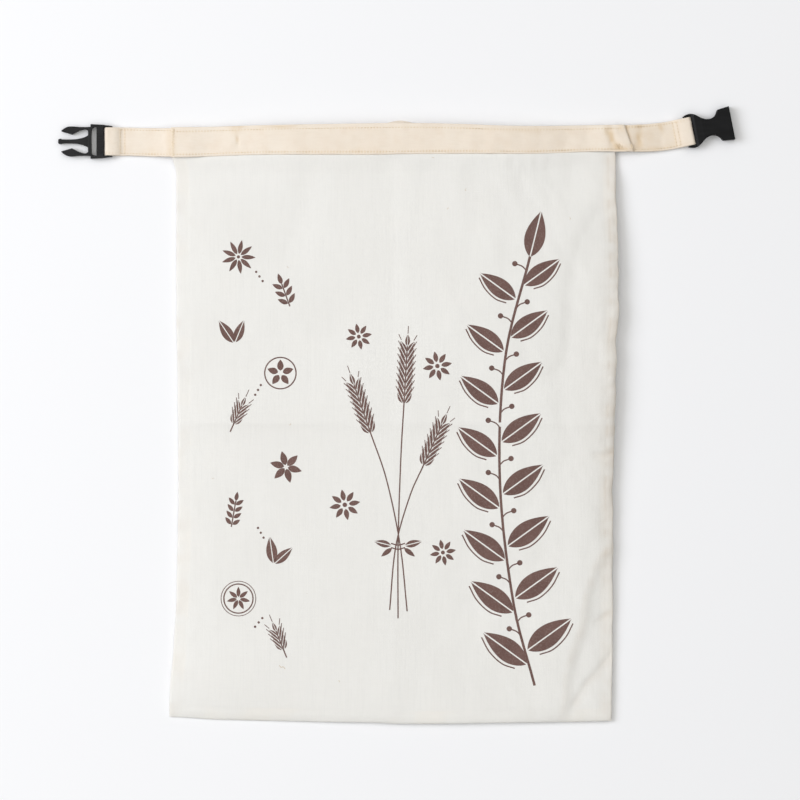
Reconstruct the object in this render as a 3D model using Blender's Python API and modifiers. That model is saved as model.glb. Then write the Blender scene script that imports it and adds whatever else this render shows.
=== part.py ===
"""Roll-top bread bag, lying flat: two cloth panels sewn at the sides and the bottom, a cotton
tape along each side of the mouth, and a strap at each end of it, each looped round the bar of
one half of a side-release buckle.

Metres. +X to the right, +Y towards the mouth, +Z up from the table, z = 0 on the table."""

from bisect import bisect_right
from collections import namedtuple
from math import cos, pi, radians, sin

import bmesh
import bpy
from mathutils import Matrix, Vector

OBJECT_NAME = "bread_bag"

# Cloth and tape
CLOTH = 0.0010  # thickness of a panel
TAPE = 0.0010  # thickness of the band and the straps
CLEAR = 0.0003  # between two pieces that lie on each other

# Side edges of the bag: where the cloth ends at each height, how far the back panel's
# underside stands off the table there, how far the front bulges beside the right seam, and
# how much more air there is between the panels towards it
SideRow = namedtuple("SideRow", "y left right left_lift right_lift bulge puff")
SIDES = [
    SideRow(-0.2200, -0.1626, 0.1537, 0.0003, 0.0012, 0.0000, 0.0000),
    SideRow(-0.2034, -0.1626, 0.1537, 0.0003, 0.0016, 0.0003, 0.0000),
    SideRow(-0.1677, -0.1597, 0.1544, 0.0004, 0.0024, 0.0006, 0.0004),
    SideRow(-0.1320, -0.1576, 0.1544, 0.0005, 0.0031, 0.0007, 0.0014),
    SideRow(-0.0606, -0.1562, 0.1544, 0.0006, 0.0058, 0.0008, 0.0042),
    SideRow(0.0108, -0.1565, 0.1559, 0.0006, 0.0088, 0.0009, 0.0066),
    SideRow(0.0822, -0.1576, 0.1580, 0.0005, 0.0094, 0.0009, 0.0068),
    SideRow(0.1179, -0.1576, 0.1580, 0.0004, 0.0084, 0.0008, 0.0068),
    SideRow(0.1536, -0.1576, 0.1569, 0.0003, 0.0060, 0.0005, 0.0064),
    SideRow(0.1650, -0.1577, 0.1567, 0.0002, 0.0046, 0.0003, 0.0064),
    SideRow(0.1750, -0.1578, 0.1566, 0.0002, 0.0026, 0.0001, 0.0064),
    SideRow(0.1843, -0.1604, 0.1566, 0.0002, 0.0006, 0.0000, 0.0064),
    SideRow(0.2100, -0.1604, 0.1566, 0.0002, 0.0006, 0.0000, 0.0064),
]
LIFT_REACH = 0.055  # how far in from an edge the back panel comes down to the table

# Bottom edge and how far it stands off the table, and the two edges of the band
EndRow = namedtuple("EndRow", "x bottom lift band_low band_high")
ENDS = [
    EndRow(-0.1626, -0.2156, 0.0000, 0.1841, 0.2055),
    EndRow(-0.1450, -0.2164, 0.0000, 0.1843, 0.2057),
    EndRow(-0.1262, -0.2177, 0.0002, 0.1850, 0.2061),
    EndRow(-0.0976, -0.2184, 0.0005, 0.1857, 0.2068),
    EndRow(-0.0405, -0.2195, 0.0018, 0.1857, 0.2078),
    EndRow(-0.0119, -0.2199, 0.0022, 0.1857, 0.2082),
    EndRow(0.0024, -0.2206, 0.0024, 0.1861, 0.2084),
    EndRow(0.0452, -0.2205, 0.0030, 0.1864, 0.2077),
    EndRow(0.0738, -0.2200, 0.0028, 0.1864, 0.2066),
    EndRow(0.1023, -0.2198, 0.0022, 0.1866, 0.2064),
    EndRow(0.1380, -0.2191, 0.0012, 0.1881, 0.2071),
    EndRow(0.1700, -0.2182, 0.0006, 0.1882, 0.2075),
]
PANEL_TUCK = 0.0180  # how far a panel's mouth edge reaches up under the band
BAND_RAMP = 0.0140  # below the band, where the back panel comes down beside the tape
BACK_BAND_PEEP = 0.0018  # the back band's upper edge shows past the front band's here
PEEP_X = 0.0024
PEEP_REACH = 0.0150

# The air between the panels
PUFF = 0.0034  # between the panels, away from the seams, where the back lies on the table
RIGHT_PUFF_FROM = -0.1200  # from here to there the air grows, towards the right side
RIGHT_PUFF_TO = 0.1100
BULGE_REACH = 0.0400  # the bulge beside the right seam, from the seam to its inner end
MOUTH_PUFF = 0.0057  # at the mouth, in its middle
SIDE_REACH = 0.0550  # from a side seam to the full height
BOTTOM_REACH = 0.0450
SWELL_POWER = 3.0  # how steeply the cloth leaves a seam
MOUTH_REACH = 0.0900  # the stiff band opens more slowly from its ends
MOUTH_FROM = 0.1200  # from here up, the cloth follows the mouth more and more

# Folds of the front panel: the cross pressed in when the bag was folded in four, the soft
# troughs under the band and along the right side, and the pulls at the lower right corner.
# A ridge has a negative depth.
Fold = namedtuple("Fold", "path reach depth")
FOLDS = [
    Fold([(-0.0019, 0.1850), (-0.0019, -0.0092)], 0.0120, 0.0008),
    Fold([(-0.0019, -0.0092), (-0.0030, -0.2200)], 0.0120, -0.0005),
    Fold([(-0.1550, -0.0092), (0.1550, -0.0092)], 0.0110, 0.0007),
    Fold([(-0.0590, 0.1840), (-0.0760, 0.1179), (-0.0905, 0.0820)], 0.0140, 0.0006),
    Fold([(0.0870, 0.1840), (0.0900, 0.1586), (0.0973, 0.1450)], 0.0090, 0.0006),
    Fold(
        [(0.1500, 0.1560), (0.1323, 0.1229), (0.1240, 0.0658), (0.1180, 0.0372), (0.1023, 0.0208)],
        0.0100, 0.0010,
    ),
    Fold([(0.1344, -0.0106), (0.1166, -0.0356), (0.0830, -0.0750)], 0.0100, 0.0005),
    Fold([(0.1440, -0.0450), (0.1294, -0.1106), (0.1080, -0.1850)], 0.0130, -0.0006),
    Fold([(0.1540, -0.0900), (0.1394, -0.1392), (0.1187, -0.2180)], 0.0100, 0.0013),
    Fold([(0.1480, -0.1434), (0.1280, -0.1700)], 0.0080, 0.0006),
]

# Lines of the panels' meshes, from left to right and from the bottom up, as places on the
# bag's middle lines
LEFT, RIGHT = -0.1576, 0.1560
BOTTOM, TOP = -0.2190, 0.2045
FRONT_COLUMNS = [
    -0.1576, -0.1540, -0.1480, -0.1400, -0.1300, -0.1180, -0.1060, -0.0950, -0.0850, -0.0720,
    -0.0560, -0.0360, -0.0150, -0.0030, 0.0090, 0.0300, 0.0500, 0.0680, 0.0800, 0.0880,
    0.0980, 0.1120, 0.1220, 0.1310, 0.1400, 0.1470, 0.1525, 0.1560,
]
BACK_COLUMNS = [
    -0.1576, -0.1540, -0.1400, -0.1180, -0.0030, 0.0980, 0.1080, 0.1160, 0.1240, 0.1320,
    0.1400, 0.1470, 0.1525, 0.1560,
]
PANEL_ROWS = [
    -0.2190, -0.2150, -0.2090, -0.2000, -0.1880, -0.1760, -0.1640, -0.1500, -0.1360, -0.1180,
    -0.0980, -0.0780, -0.0560, -0.0360, -0.0200, -0.0092, 0.0020, 0.0160, 0.0340, 0.0540,
    0.0740, 0.0940, 0.1120, 0.1300, 0.1460, 0.1600, 0.1710, 0.1790, 0.1850, 0.1900, 0.2045,
]

# The tape bands along the mouth
BAND_LEFT = -0.1611
BAND_RIGHT_LOW = 0.1694  # the front band's right end is cut on the slant
BAND_RIGHT_HIGH = 0.1627
BACK_BAND_RIGHT = 0.1560
BAND_STEP = 0.0070  # the front band comes down beside a strap's end over this length
BAND_COLUMN = 0.0085
BAND_ROWS = 3

# The straps
STRAP_WIDTH = 0.0202
LEFT_STRAP_INNER_WIDTH = 0.0205  # where it is sewn under the band
RIGHT_STRAP_INNER_WIDTH = 0.0187
STRAP_TAIL = 0.0147  # from the bar to the tail's end
STRAP_SEWN = 0.0108  # from the bar to the cross stitch that closes the loop
TAIL_DROP = 0.0009  # from the loop down to the tail's end
LOOP_RADIUS = 0.0020  # from the bar's axis to the middle of the tape round it
LOOP_STEPS = 8
OverRow = namedtuple("OverRow", "distance share")
OVER_LAYER = [  # the upper layer past the bar: its share of the way down to the tail
    OverRow(0.0000, 0.00),
    OverRow(0.0026, 0.04),
    OverRow(0.0062, 0.27),
    OverRow(0.0103, 0.90),
    OverRow(0.0157, 1.00),
]
OVER_STEP = 0.0020
STRAP_STEP = 0.0045
TURN_STEP = 0.0010  # the tape's turn in plan is taken over this length to both sides
STRAP_LIE = 1.5 * CLEAR  # between a strap's inner end and the front panel
LEFT_STRAP_END = -0.1500  # inner ends, under the front band
LEFT_STRAP_END_Y = 0.1948
RIGHT_STRAP_END = 0.1510
RIGHT_STRAP_END_Y = 0.1977
StrapRow = namedtuple("StrapRow", "x y z")  # middle line of the tape, from the loop inwards
LEFT_STRAP = [
    StrapRow(-0.1860, 0.1954, 0.0017),
    StrapRow(-0.1760, 0.1951, 0.0022),
    StrapRow(-0.1680, 0.1949, 0.0033),
]
RIGHT_STRAP = [
    StrapRow(0.1880, 0.1989, 0.0024),
    StrapRow(0.1800, 0.1982, 0.0031),
    StrapRow(0.1720, 0.1979, 0.0042),
]

# The buckle halves: each has its origin on the bar that its strap goes round, and its
# length along its own X
BAR_RADIUS = 0.0012
BAR_SIDES = 12
EAR_INSIDE = STRAP_WIDTH / 2 + CLEAR  # from the middle line to the ears
BAR_ROOT = 0.0004  # how far the bar runs into the ears
EAR_BACK = -0.0060  # past the ears' ends
MALE_BAR = Vector((-0.2066, 0.1956, 0.0025))
MALE_HEADING = radians(180.0)
FEMALE_BAR = Vector((0.2096, 0.2028, 0.0037))
FEMALE_HEADING = radians(11.2)

MALE_HEIGHT = 0.0050
PRONG_HEIGHT = 0.0042
GUIDE_HEIGHT = 0.0032
EDGE = 0.0003  # rounding of the moulded edges
WELD = 0.00001  # a plate's loose caps are joined on within this
FrameRow = namedtuple("FrameRow", "x y corner")  # half an outline; corner False is a smooth point
MALE_FRAME = [
    FrameRow(-0.0032, 0.0110, True),
    FrameRow(0.0040, 0.0119, True),
    FrameRow(0.0121, 0.0123, True),
    FrameRow(0.0121, 0.0103, True),
    FrameRow(0.0139, 0.0103, True),
]
PRONG_OUTLINE = [
    FrameRow(0.0128, 0.0102, True),
    FrameRow(0.0205, 0.0103, False),
    FrameRow(0.0257, 0.0107, False),
    FrameRow(0.0288, 0.0103, False),
    FrameRow(0.0313, 0.0090, False),
    FrameRow(0.0331, 0.0075, True),
    FrameRow(0.0328, 0.0071, True),
    FrameRow(0.0254, 0.0049, True),
    FrameRow(0.0218, 0.0068, False),
    FrameRow(0.0186, 0.0081, False),
    FrameRow(0.0154, 0.0086, False),
    FrameRow(0.0142, 0.0078, False),
    FrameRow(0.0128, 0.0062, True),
]
GUIDE_OUTLINE = [
    FrameRow(0.0128, 0.0056, True),
    FrameRow(0.0140, 0.0044, False),
    FrameRow(0.0158, 0.0033, False),
    FrameRow(0.0186, 0.0024, False),
    FrameRow(0.0225, 0.0016, False),
    FrameRow(0.0324, 0.0014, True),
    FrameRow(0.0334, 0.0020, True),
    FrameRow(0.0350, 0.0016, True),
    FrameRow(0.0353, 0.0008, True),
]
SLOT = [
    FrameRow(0.0078, 0.0102, True),
    FrameRow(0.0094, 0.0101, False),
    FrameRow(0.0108, 0.0093, False),
    FrameRow(0.0116, 0.0076, True),
]
RIBBED_BAR_BACK = 0.0028  # the frame's slot for the strap ends here
RIB_HEIGHT = 0.0004
RIB_WIDTH = 0.0009
RIB_PITCH = 0.0019
RIB_COUNT = 10
RIBBED_BAR_MIDDLE = 0.0054
RIB_LENGTH = 0.0040

FEMALE_HEIGHT = 0.0074
FEMALE_EDGE = 0.0006
FEMALE_OUTLINE = [
    FrameRow(-0.0031, 0.0111, True),
    FrameRow(-0.0006, 0.01195, False),
    FrameRow(0.0024, 0.0121, False),
    FrameRow(0.0054, 0.0109, False),
    FrameRow(0.0079, 0.0090, False),
    FrameRow(0.0109, 0.0069, False),
    FrameRow(0.0142, 0.0059, False),
    FrameRow(0.0174, 0.0063, False),
    FrameRow(0.0204, 0.0085, False),
    FrameRow(0.0213, 0.0103, True),
    FrameRow(0.0221, 0.0112, True),
    FrameRow(0.0304, 0.0121, True),
]
FEMALE_BODY_BACK = 0.0028  # the body starts here, in front of the strap
SOCKET_BACK = 0.0095
SOCKET_FRONT = 0.0320  # past the body's front
SOCKET_HALF_WIDTH = 0.0103
SOCKET_HEIGHT = 0.0050
SHOULDER_WIDTH = 0.0400  # past both ears
ShoulderRow = namedtuple("ShoulderRow", "x z")  # where the body's faces slope to the ears
SHOULDER = [
    ShoulderRow(-0.0060, 0.0025),
    ShoulderRow(0.0027, 0.0023),
    ShoulderRow(0.0044, 0.0031),
    ShoulderRow(0.0080, 0.0035),
    ShoulderRow(0.0110, 0.0040),
    ShoulderRow(-0.0060, 0.0060),
]

# Colours (linear RGB) and roughness
CLOTH_COLOR = (0.82, 0.80, 0.75, 1.0)
TAPE_COLOR = (0.83, 0.74, 0.60, 1.0)
PLASTIC_COLOR = (0.02, 0.02, 0.02, 1.0)
WOVEN_ROUGHNESS = 0.9
PLASTIC_ROUGHNESS = 0.4


def clear_scene():
    for obj in list(bpy.data.objects):
        bpy.data.objects.remove(obj, do_unlink=True)


def make_collection(name):
    collection = bpy.data.collections.new(name)
    bpy.context.scene.collection.children.link(collection)
    return collection


def make_material(name, color, roughness):
    material = bpy.data.materials.new(name)
    material.use_nodes = True
    shader = material.node_tree.nodes["Principled BSDF"]
    shader.inputs["Base Color"].default_value = color
    shader.inputs["Roughness"].default_value = roughness
    shader.inputs["Metallic"].default_value = 0.0
    return material


# Smooth functions


def through(knots):
    """A smooth function through (place, value) knots, level past both ends."""
    places = [place for place, _ in knots]
    values = [value for _, value in knots]
    last = len(knots) - 1

    def slope(i):
        before, after = max(i - 1, 0), min(i + 1, last)
        return (values[after] - values[before]) / (places[after] - places[before])

    def value(place):
        place = min(max(place, places[0]), places[-1])
        i = min(bisect_right(places, place), last) - 1
        span = places[i + 1] - places[i]
        t = (place - places[i]) / span
        start = (1 + 2 * t) * (1 - t) ** 2 * values[i] + t * (1 - t) ** 2 * span * slope(i)
        end = t * t * (3 - 2 * t) * values[i + 1] + t * t * (t - 1) * span * slope(i + 1)
        return start + end

    return value


def ease(t):
    """0 to 1, level at both ends."""
    t = min(max(t, 0.0), 1.0)
    return t * t * (3 - 2 * t)


def swell(t):
    """0 to 1, steep at the start like a seam under air, level at the end."""
    t = min(max(t, 0.0), 1.0)
    return 1 - (1 - t) ** SWELL_POWER


def hump(t):
    """0 at 0 and 1, 1 in the middle, level at all three."""
    t = min(max(t, 0.0), 1.0)
    return (4 * t * (1 - t)) ** 2


left_edge = through([(row.y, row.left) for row in SIDES])
right_edge = through([(row.y, row.right) for row in SIDES])
left_lift = through([(row.y, row.left_lift) for row in SIDES])
right_lift = through([(row.y, row.right_lift) for row in SIDES])
bulge = through([(row.y, row.bulge) for row in SIDES])
right_puff = through([(row.y, row.puff) for row in SIDES])
bottom_edge = through([(row.x, row.bottom) for row in ENDS])
bottom_lift = through([(row.x, row.lift) for row in ENDS])
band_low = through([(row.x, row.band_low) for row in ENDS])
band_high = through([(row.x, row.band_high) for row in ENDS])


# Heights of the layers, from the table up


def table_lift(x, y):
    """The lowest layer's underside: on the table, but for the raised edges."""
    from_left = ease(1 - (x - left_edge(y)) / LIFT_REACH)
    from_right = ease(1 - (right_edge(y) - x) / LIFT_REACH)
    from_bottom = ease(1 - (y - bottom_edge(x)) / LIFT_REACH)
    return left_lift(y) * from_left + right_lift(y) * from_right + bottom_lift(x) * from_bottom


def back_under(x, y):
    """Underside of the back panel, which lies on the back band at the mouth."""
    on_band = ease((y - band_low(x) + BAND_RAMP) / (BAND_RAMP - CLEAR))
    return table_lift(x, y) + (TAPE + CLEAR) * on_band


def fold_depth(x, y):
    """How deep the folds are at a point of the front panel."""
    spot, depth = Vector((x, y)), 0.0
    for fold in FOLDS:
        aside = fold.reach
        for first, second in zip(fold.path, fold.path[1:]):
            start, run = Vector(first), Vector(second) - Vector(first)
            along = min(max((spot - start).dot(run) / run.length_squared, 0.0), 1.0)
            aside = min(aside, (spot - start - along * run).length)
        depth += fold.depth * (1 - aside / fold.reach) ** 2
    return depth


def gap(x, y):
    """Between the back panel's top and the front panel's underside."""
    left, right, bottom = x - left_edge(y), right_edge(y) - x, y - bottom_edge(x)
    full = swell(left / SIDE_REACH) * swell(right / SIDE_REACH) * swell(bottom / BOTTOM_REACH)
    middle = ease(left / MOUTH_REACH) * ease(right / MOUTH_REACH)
    to_mouth = ease((y - MOUTH_FROM) / (band_low(x) - MOUTH_FROM))
    share = full * (1 - to_mouth) + middle * to_mouth
    to_right = ease((x - RIGHT_PUFF_FROM) / (RIGHT_PUFF_TO - RIGHT_PUFF_FROM))
    height = (PUFF + right_puff(y) * to_right) * (1 - to_mouth) + MOUTH_PUFF * to_mouth
    height -= table_lift(x, y)
    beside_seam = bulge(y) * hump(right / BULGE_REACH)
    relief = (beside_seam - share * fold_depth(x, y)) * (1 - to_mouth)
    return CLEAR + max(share * max(height, 0.0) + relief, 0.0)


def front_top(x, y):
    return back_under(x, y) + CLOTH + gap(x, y) + CLOTH


# Sheets of cloth


def make_sheet(name, columns, rows, place, thickness, collection, material, offset=1.0):
    """A closed sheet: a grid laid out by place(column, row), thickened upwards."""
    mesh = bpy.data.meshes.new(name)
    grid = bmesh.new()
    wide, high = len(columns) - 1, len(rows) - 1
    bmesh.ops.create_grid(grid, x_segments=wide, y_segments=high, size=0.5)
    for vert in grid.verts:
        column = columns[round((vert.co.x + 0.5) * wide)]
        row = rows[round((vert.co.y + 0.5) * high)]
        vert.co = place(column, row)
    grid.to_mesh(mesh)
    grid.free()
    mesh.shade_smooth()
    sheet = bpy.data.objects.new(name, mesh)
    sheet.data.materials.append(material)
    collection.objects.link(sheet)
    solidify = sheet.modifiers.new("thickness", "SOLIDIFY")
    solidify.thickness = thickness
    solidify.offset = offset
    solidify.use_even_offset = True
    return sheet


def panel_point(column, row):
    """Where a mesh line's nominal place lies on the bag's real outline."""
    across = (column - LEFT) / (RIGHT - LEFT)
    up = (row - BOTTOM) / (TOP - BOTTOM)
    mouth = band_low(column) + PANEL_TUCK
    y = bottom_edge(column) + up * (mouth - bottom_edge(column))
    x = left_edge(y) + across * (right_edge(y) - left_edge(y))
    return x, y


def make_panels(collection, material):
    def back(column, row):
        x, y = panel_point(column, row)
        return x, y, back_under(x, y)

    def front(column, row):
        x, y = panel_point(column, row)
        return x, y, back_under(x, y) + CLOTH + gap(x, y)

    make_sheet("back_panel", BACK_COLUMNS, PANEL_ROWS, back, CLOTH, collection, material)
    make_sheet("front_panel", FRONT_COLUMNS, PANEL_ROWS, front, CLOTH, collection, material)


def stations(start, end, step):
    count = max(round(abs(end - start) / step), 1)
    return [start + (end - start) * i / count for i in range(count + 1)]


def over_strap(x):
    """How far a strap's end holds the front band up."""
    left = ease((LEFT_STRAP_END + 2 * CLEAR + BAND_STEP - x) / BAND_STEP)
    right = ease((x - RIGHT_STRAP_END + 2 * CLEAR + BAND_STEP) / BAND_STEP)
    return (TAPE + 2 * CLEAR) * max(left, right)


def mouth_height(x):
    """Top of the front panel under the middle of the band, level past the side seams."""
    middle = (band_low(x) + band_high(x)) / 2
    inside = min(max(x, left_edge(middle)), right_edge(middle))
    return max(front_top(inside, band_low(x)), front_top(inside, middle))


def make_bands(collection, material):
    def back(x, row):
        peep = BACK_BAND_PEEP * ease(1 - abs(x - PEEP_X) / PEEP_REACH)
        y = band_low(x) + row * (band_high(x) + peep - CLEAR - band_low(x))
        return x, y, table_lift(x, y)

    def front(column, row):
        slant = BAND_RIGHT_LOW + row * (BAND_RIGHT_HIGH - BAND_RIGHT_LOW)
        share = ease((column - RIGHT_STRAP_END) / (BAND_RIGHT_LOW - RIGHT_STRAP_END))
        x = column + share * (slant - BAND_RIGHT_LOW)
        y = band_low(x) + row * (band_high(x) - band_low(x))
        return x, y, mouth_height(x) + CLEAR + over_strap(x)

    rows = [i / BAND_ROWS for i in range(BAND_ROWS + 1)]
    step_in_left = LEFT_STRAP_END + 2 * CLEAR
    step_in_right = RIGHT_STRAP_END - 2 * CLEAR
    columns = stations(BAND_LEFT, step_in_left, BAND_STEP)
    columns += stations(step_in_left, step_in_left + BAND_STEP, BAND_STEP / 3)[1:]
    columns += stations(step_in_left + BAND_STEP, step_in_right - BAND_STEP, BAND_COLUMN)[1:]
    columns += stations(step_in_right - BAND_STEP, step_in_right, BAND_STEP / 3)[1:]
    columns += stations(step_in_right, BAND_RIGHT_LOW, BAND_STEP)[1:]
    make_sheet("front_band", columns, rows, front, TAPE, collection, material)
    columns = stations(BAND_LEFT, BACK_BAND_RIGHT, 2 * BAND_COLUMN)
    make_sheet("back_band", columns, rows, back, TAPE, collection, material)


# Straps


def strap_line(bar, heading, rows, inner_end, inner_y):
    """The tape's middle line in plan and height, from the tail's end, under and round the
    bar, and over it to the bag: a list of (x, y, z, turn) with the tape's turn in plan."""
    back = Vector((-cos(heading), -sin(heading)))  # from the bar to the bag
    loop_low, loop_high = bar.z - LOOP_RADIUS, bar.z + LOOP_RADIUS
    tail_end = max(TAPE / 2, loop_low - TAIL_DROP)
    sewn = tail_end + TAPE + CLEAR
    line = []

    def add(distance, z):
        spot = Vector((bar.x, bar.y)) + back * distance
        line.append((spot.x, spot.y, z, heading))

    for distance in (STRAP_TAIL, STRAP_SEWN, STRAP_TAIL / 3):
        add(distance, tail_end + (loop_low - tail_end) * ease(1 - distance / STRAP_TAIL))
    for i in range(LOOP_STEPS + 1):
        turn = pi * i / LOOP_STEPS
        add(-LOOP_RADIUS * sin(turn), bar.z - LOOP_RADIUS * cos(turn))
    share = through([(row.distance, row.share) for row in OVER_LAYER])
    past_bar, past_tail = OVER_LAYER[1].distance, OVER_LAYER[-1].distance
    for distance in stations(past_bar, STRAP_SEWN, OVER_STEP) + [past_tail]:
        add(distance, loop_high + share(distance) * (sewn - loop_high))
    toward_bag = 1 if inner_end > bar.x else -1
    edge = left_edge(inner_y) if toward_bag > 0 else right_edge(inner_y)
    knots = [tuple(line[-1][:3])] + [(row.x, row.y, row.z) for row in rows]
    for x in (edge, inner_end):
        knots.append((x, inner_y, mouth_height(x) + STRAP_LIE + TAPE / 2))
    knots.sort()
    y_at = through([(x, y) for x, y, _ in knots])
    z_at = through([(x, z) for x, _, z in knots])
    for x in stations(line[-1][0], inner_end, STRAP_STEP)[1:]:
        turn = (y_at(x + TURN_STEP) - y_at(x - TURN_STEP)) / (2 * TURN_STEP)
        line.append((x, y_at(x), z_at(x), turn if toward_bag < 0 else pi + turn))
    return line


def make_strap(name, line, inner_width, collection, material):
    """The tape along a middle line, thickened evenly to both sides."""
    inner_x, bar_x = line[-1][0], line[0][0]

    def place(index, side):
        x, y, z, turn = line[index]
        to_inner = ease(1 - abs(x - inner_x) / abs(bar_x - inner_x))
        half = (STRAP_WIDTH + to_inner * (inner_width - STRAP_WIDTH)) / 2
        return x - side * half * sin(turn), y + side * half * cos(turn), z

    sides = [-1.0, 0.0, 1.0]
    make_sheet(name, range(len(line)), sides, place, TAPE, collection, material, offset=0.0)


def make_straps(collection, material):
    left = strap_line(MALE_BAR, MALE_HEADING, LEFT_STRAP, LEFT_STRAP_END, LEFT_STRAP_END_Y)
    make_strap("strap_left", left, LEFT_STRAP_INNER_WIDTH, collection, material)
    right = strap_line(
        FEMALE_BAR, FEMALE_HEADING, RIGHT_STRAP, RIGHT_STRAP_END, RIGHT_STRAP_END_Y,
    )
    make_strap("strap_right", right, RIGHT_STRAP_INNER_WIDTH, collection, material)


# Buckle halves


def whole_outline(half):
    """A half outline and its mirror image across the X axis, one closed loop."""
    mirrored = [row._replace(y=-row.y) for row in reversed(half)]
    return half + mirrored


def make_plate(name, outline, height, edge, collection):
    """A flat moulding: a filled 2D curve, its edges rounded, as a mesh."""
    curve = bpy.data.curves.new(name, "CURVE")
    curve.dimensions = "2D"
    curve.fill_mode = "BOTH"
    curve.extrude = height / 2 - edge
    curve.bevel_depth = edge
    curve.bevel_resolution = 1
    curve.offset = -edge
    curve.resolution_u = 3
    spline = curve.splines.new("BEZIER")
    spline.bezier_points.add(len(outline) - 1)
    spline.use_cyclic_u = True
    for point, row in zip(spline.bezier_points, outline):
        point.co = (row.x, row.y, 0.0)
        handle = "VECTOR" if row.corner else "AUTO"
        point.handle_left_type = handle
        point.handle_right_type = handle
    guide = bpy.data.objects.new(name + "_curve", curve)
    collection.objects.link(guide)
    return meshed(guide, name, collection)


def meshed(source, name, collection):
    """The mesh that a curve object makes, its loose caps joined on, in its place."""
    bpy.context.view_layer.update()
    graph = bpy.context.evaluated_depsgraph_get()
    mesh = bpy.data.meshes.new_from_object(source.evaluated_get(graph))
    joined = bmesh.new()
    joined.from_mesh(mesh)
    bmesh.ops.remove_doubles(joined, verts=joined.verts, dist=WELD)
    bmesh.ops.recalc_face_normals(joined, faces=joined.faces)
    joined.to_mesh(mesh)
    joined.free()
    plate = bpy.data.objects.new(name, mesh)
    plate.matrix_world = source.matrix_world.copy()
    collection.objects.link(plate)
    bpy.data.objects.remove(source, do_unlink=True)
    return plate


def make_box(name, low, high, collection):
    mesh = bpy.data.meshes.new(name)
    box = bmesh.new()
    size = Vector(high) - Vector(low)
    middle = (Vector(high) + Vector(low)) / 2
    shape = Matrix.Translation(middle) @ Matrix.Diagonal((*size, 1.0))
    bmesh.ops.create_cube(box, size=1.0, matrix=shape)
    box.to_mesh(mesh)
    box.free()
    obj = bpy.data.objects.new(name, mesh)
    collection.objects.link(obj)
    return obj


def make_bar(name, reach, collection):
    """The round bar across the ears, along Y."""
    mesh = bpy.data.meshes.new(name)
    bar = bmesh.new()
    bmesh.ops.create_cone(
        bar, cap_ends=True, segments=BAR_SIDES, radius1=BAR_RADIUS, radius2=BAR_RADIUS,
        depth=2 * reach, matrix=Matrix.Rotation(pi / 2, 4, "X"),
    )
    bar.to_mesh(mesh)
    bar.free()
    obj = bpy.data.objects.new(name, mesh)
    collection.objects.link(obj)
    return obj


def boolean(target, tool, operation):
    modifier = target.modifiers.new(tool.name, "BOOLEAN")
    modifier.operation = operation
    modifier.solver = "EXACT"
    modifier.object = tool
    tool.hide_render = True
    tool.display_type = "WIRE"
    tool.parent = target


def seat(buckle, bar, heading, material):
    buckle.location = bar
    buckle.rotation_euler = (0.0, 0.0, heading)
    buckle.data.materials.append(material)


def make_male(parts, tools, material):
    """Frame with two slots and a ribbed bar, two barbed prongs and the guide between them."""
    male = make_plate("buckle_male", whole_outline(MALE_FRAME), MALE_HEIGHT, EDGE, parts)
    low = (EAR_BACK, -EAR_INSIDE, -MALE_HEIGHT)
    high = (RIBBED_BAR_BACK, EAR_INSIDE, MALE_HEIGHT)
    strap_slot = make_box("male_strap_slot", low, high, tools)
    boolean(male, strap_slot, "DIFFERENCE")
    slot = make_plate("male_slot", whole_outline(SLOT), 2 * MALE_HEIGHT, EDGE, tools)
    boolean(male, slot, "DIFFERENCE")
    boolean(male, make_bar("male_bar", EAR_INSIDE + BAR_ROOT, tools), "UNION")
    upper = make_plate("male_upper_prong", PRONG_OUTLINE, PRONG_HEIGHT, EDGE, tools)
    boolean(male, upper, "UNION")
    mirrored = [row._replace(y=-row.y) for row in reversed(PRONG_OUTLINE)]
    lower = make_plate("male_lower_prong", mirrored, PRONG_HEIGHT, EDGE, tools)
    boolean(male, lower, "UNION")
    guide = make_plate("male_guide", whole_outline(GUIDE_OUTLINE), GUIDE_HEIGHT, EDGE, tools)
    boolean(male, guide, "UNION")
    top = MALE_HEIGHT / 2
    for i in range(RIB_COUNT):
        y = (i - (RIB_COUNT - 1) / 2) * RIB_PITCH
        x = RIBBED_BAR_MIDDLE
        low = (x - RIB_LENGTH / 2, y - RIB_WIDTH / 2, top - RIB_HEIGHT)
        high = (x + RIB_LENGTH / 2, y + RIB_WIDTH / 2, top + RIB_HEIGHT)
        boolean(male, make_box(f"male_rib_{i + 1}", low, high, tools), "UNION")
    seat(male, MALE_BAR, MALE_HEADING, material)


def make_shoulder(name, side, collection):
    """What the sloping shoulder takes off above (side 1) or below (side -1)."""
    rows = [FrameRow(row.x, side * row.z, True) for row in SHOULDER]
    plate = make_plate(name, rows, SHOULDER_WIDTH, EDGE, collection)
    plate.data.transform(Matrix.Rotation(pi / 2, 4, "X"))
    return plate


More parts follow.
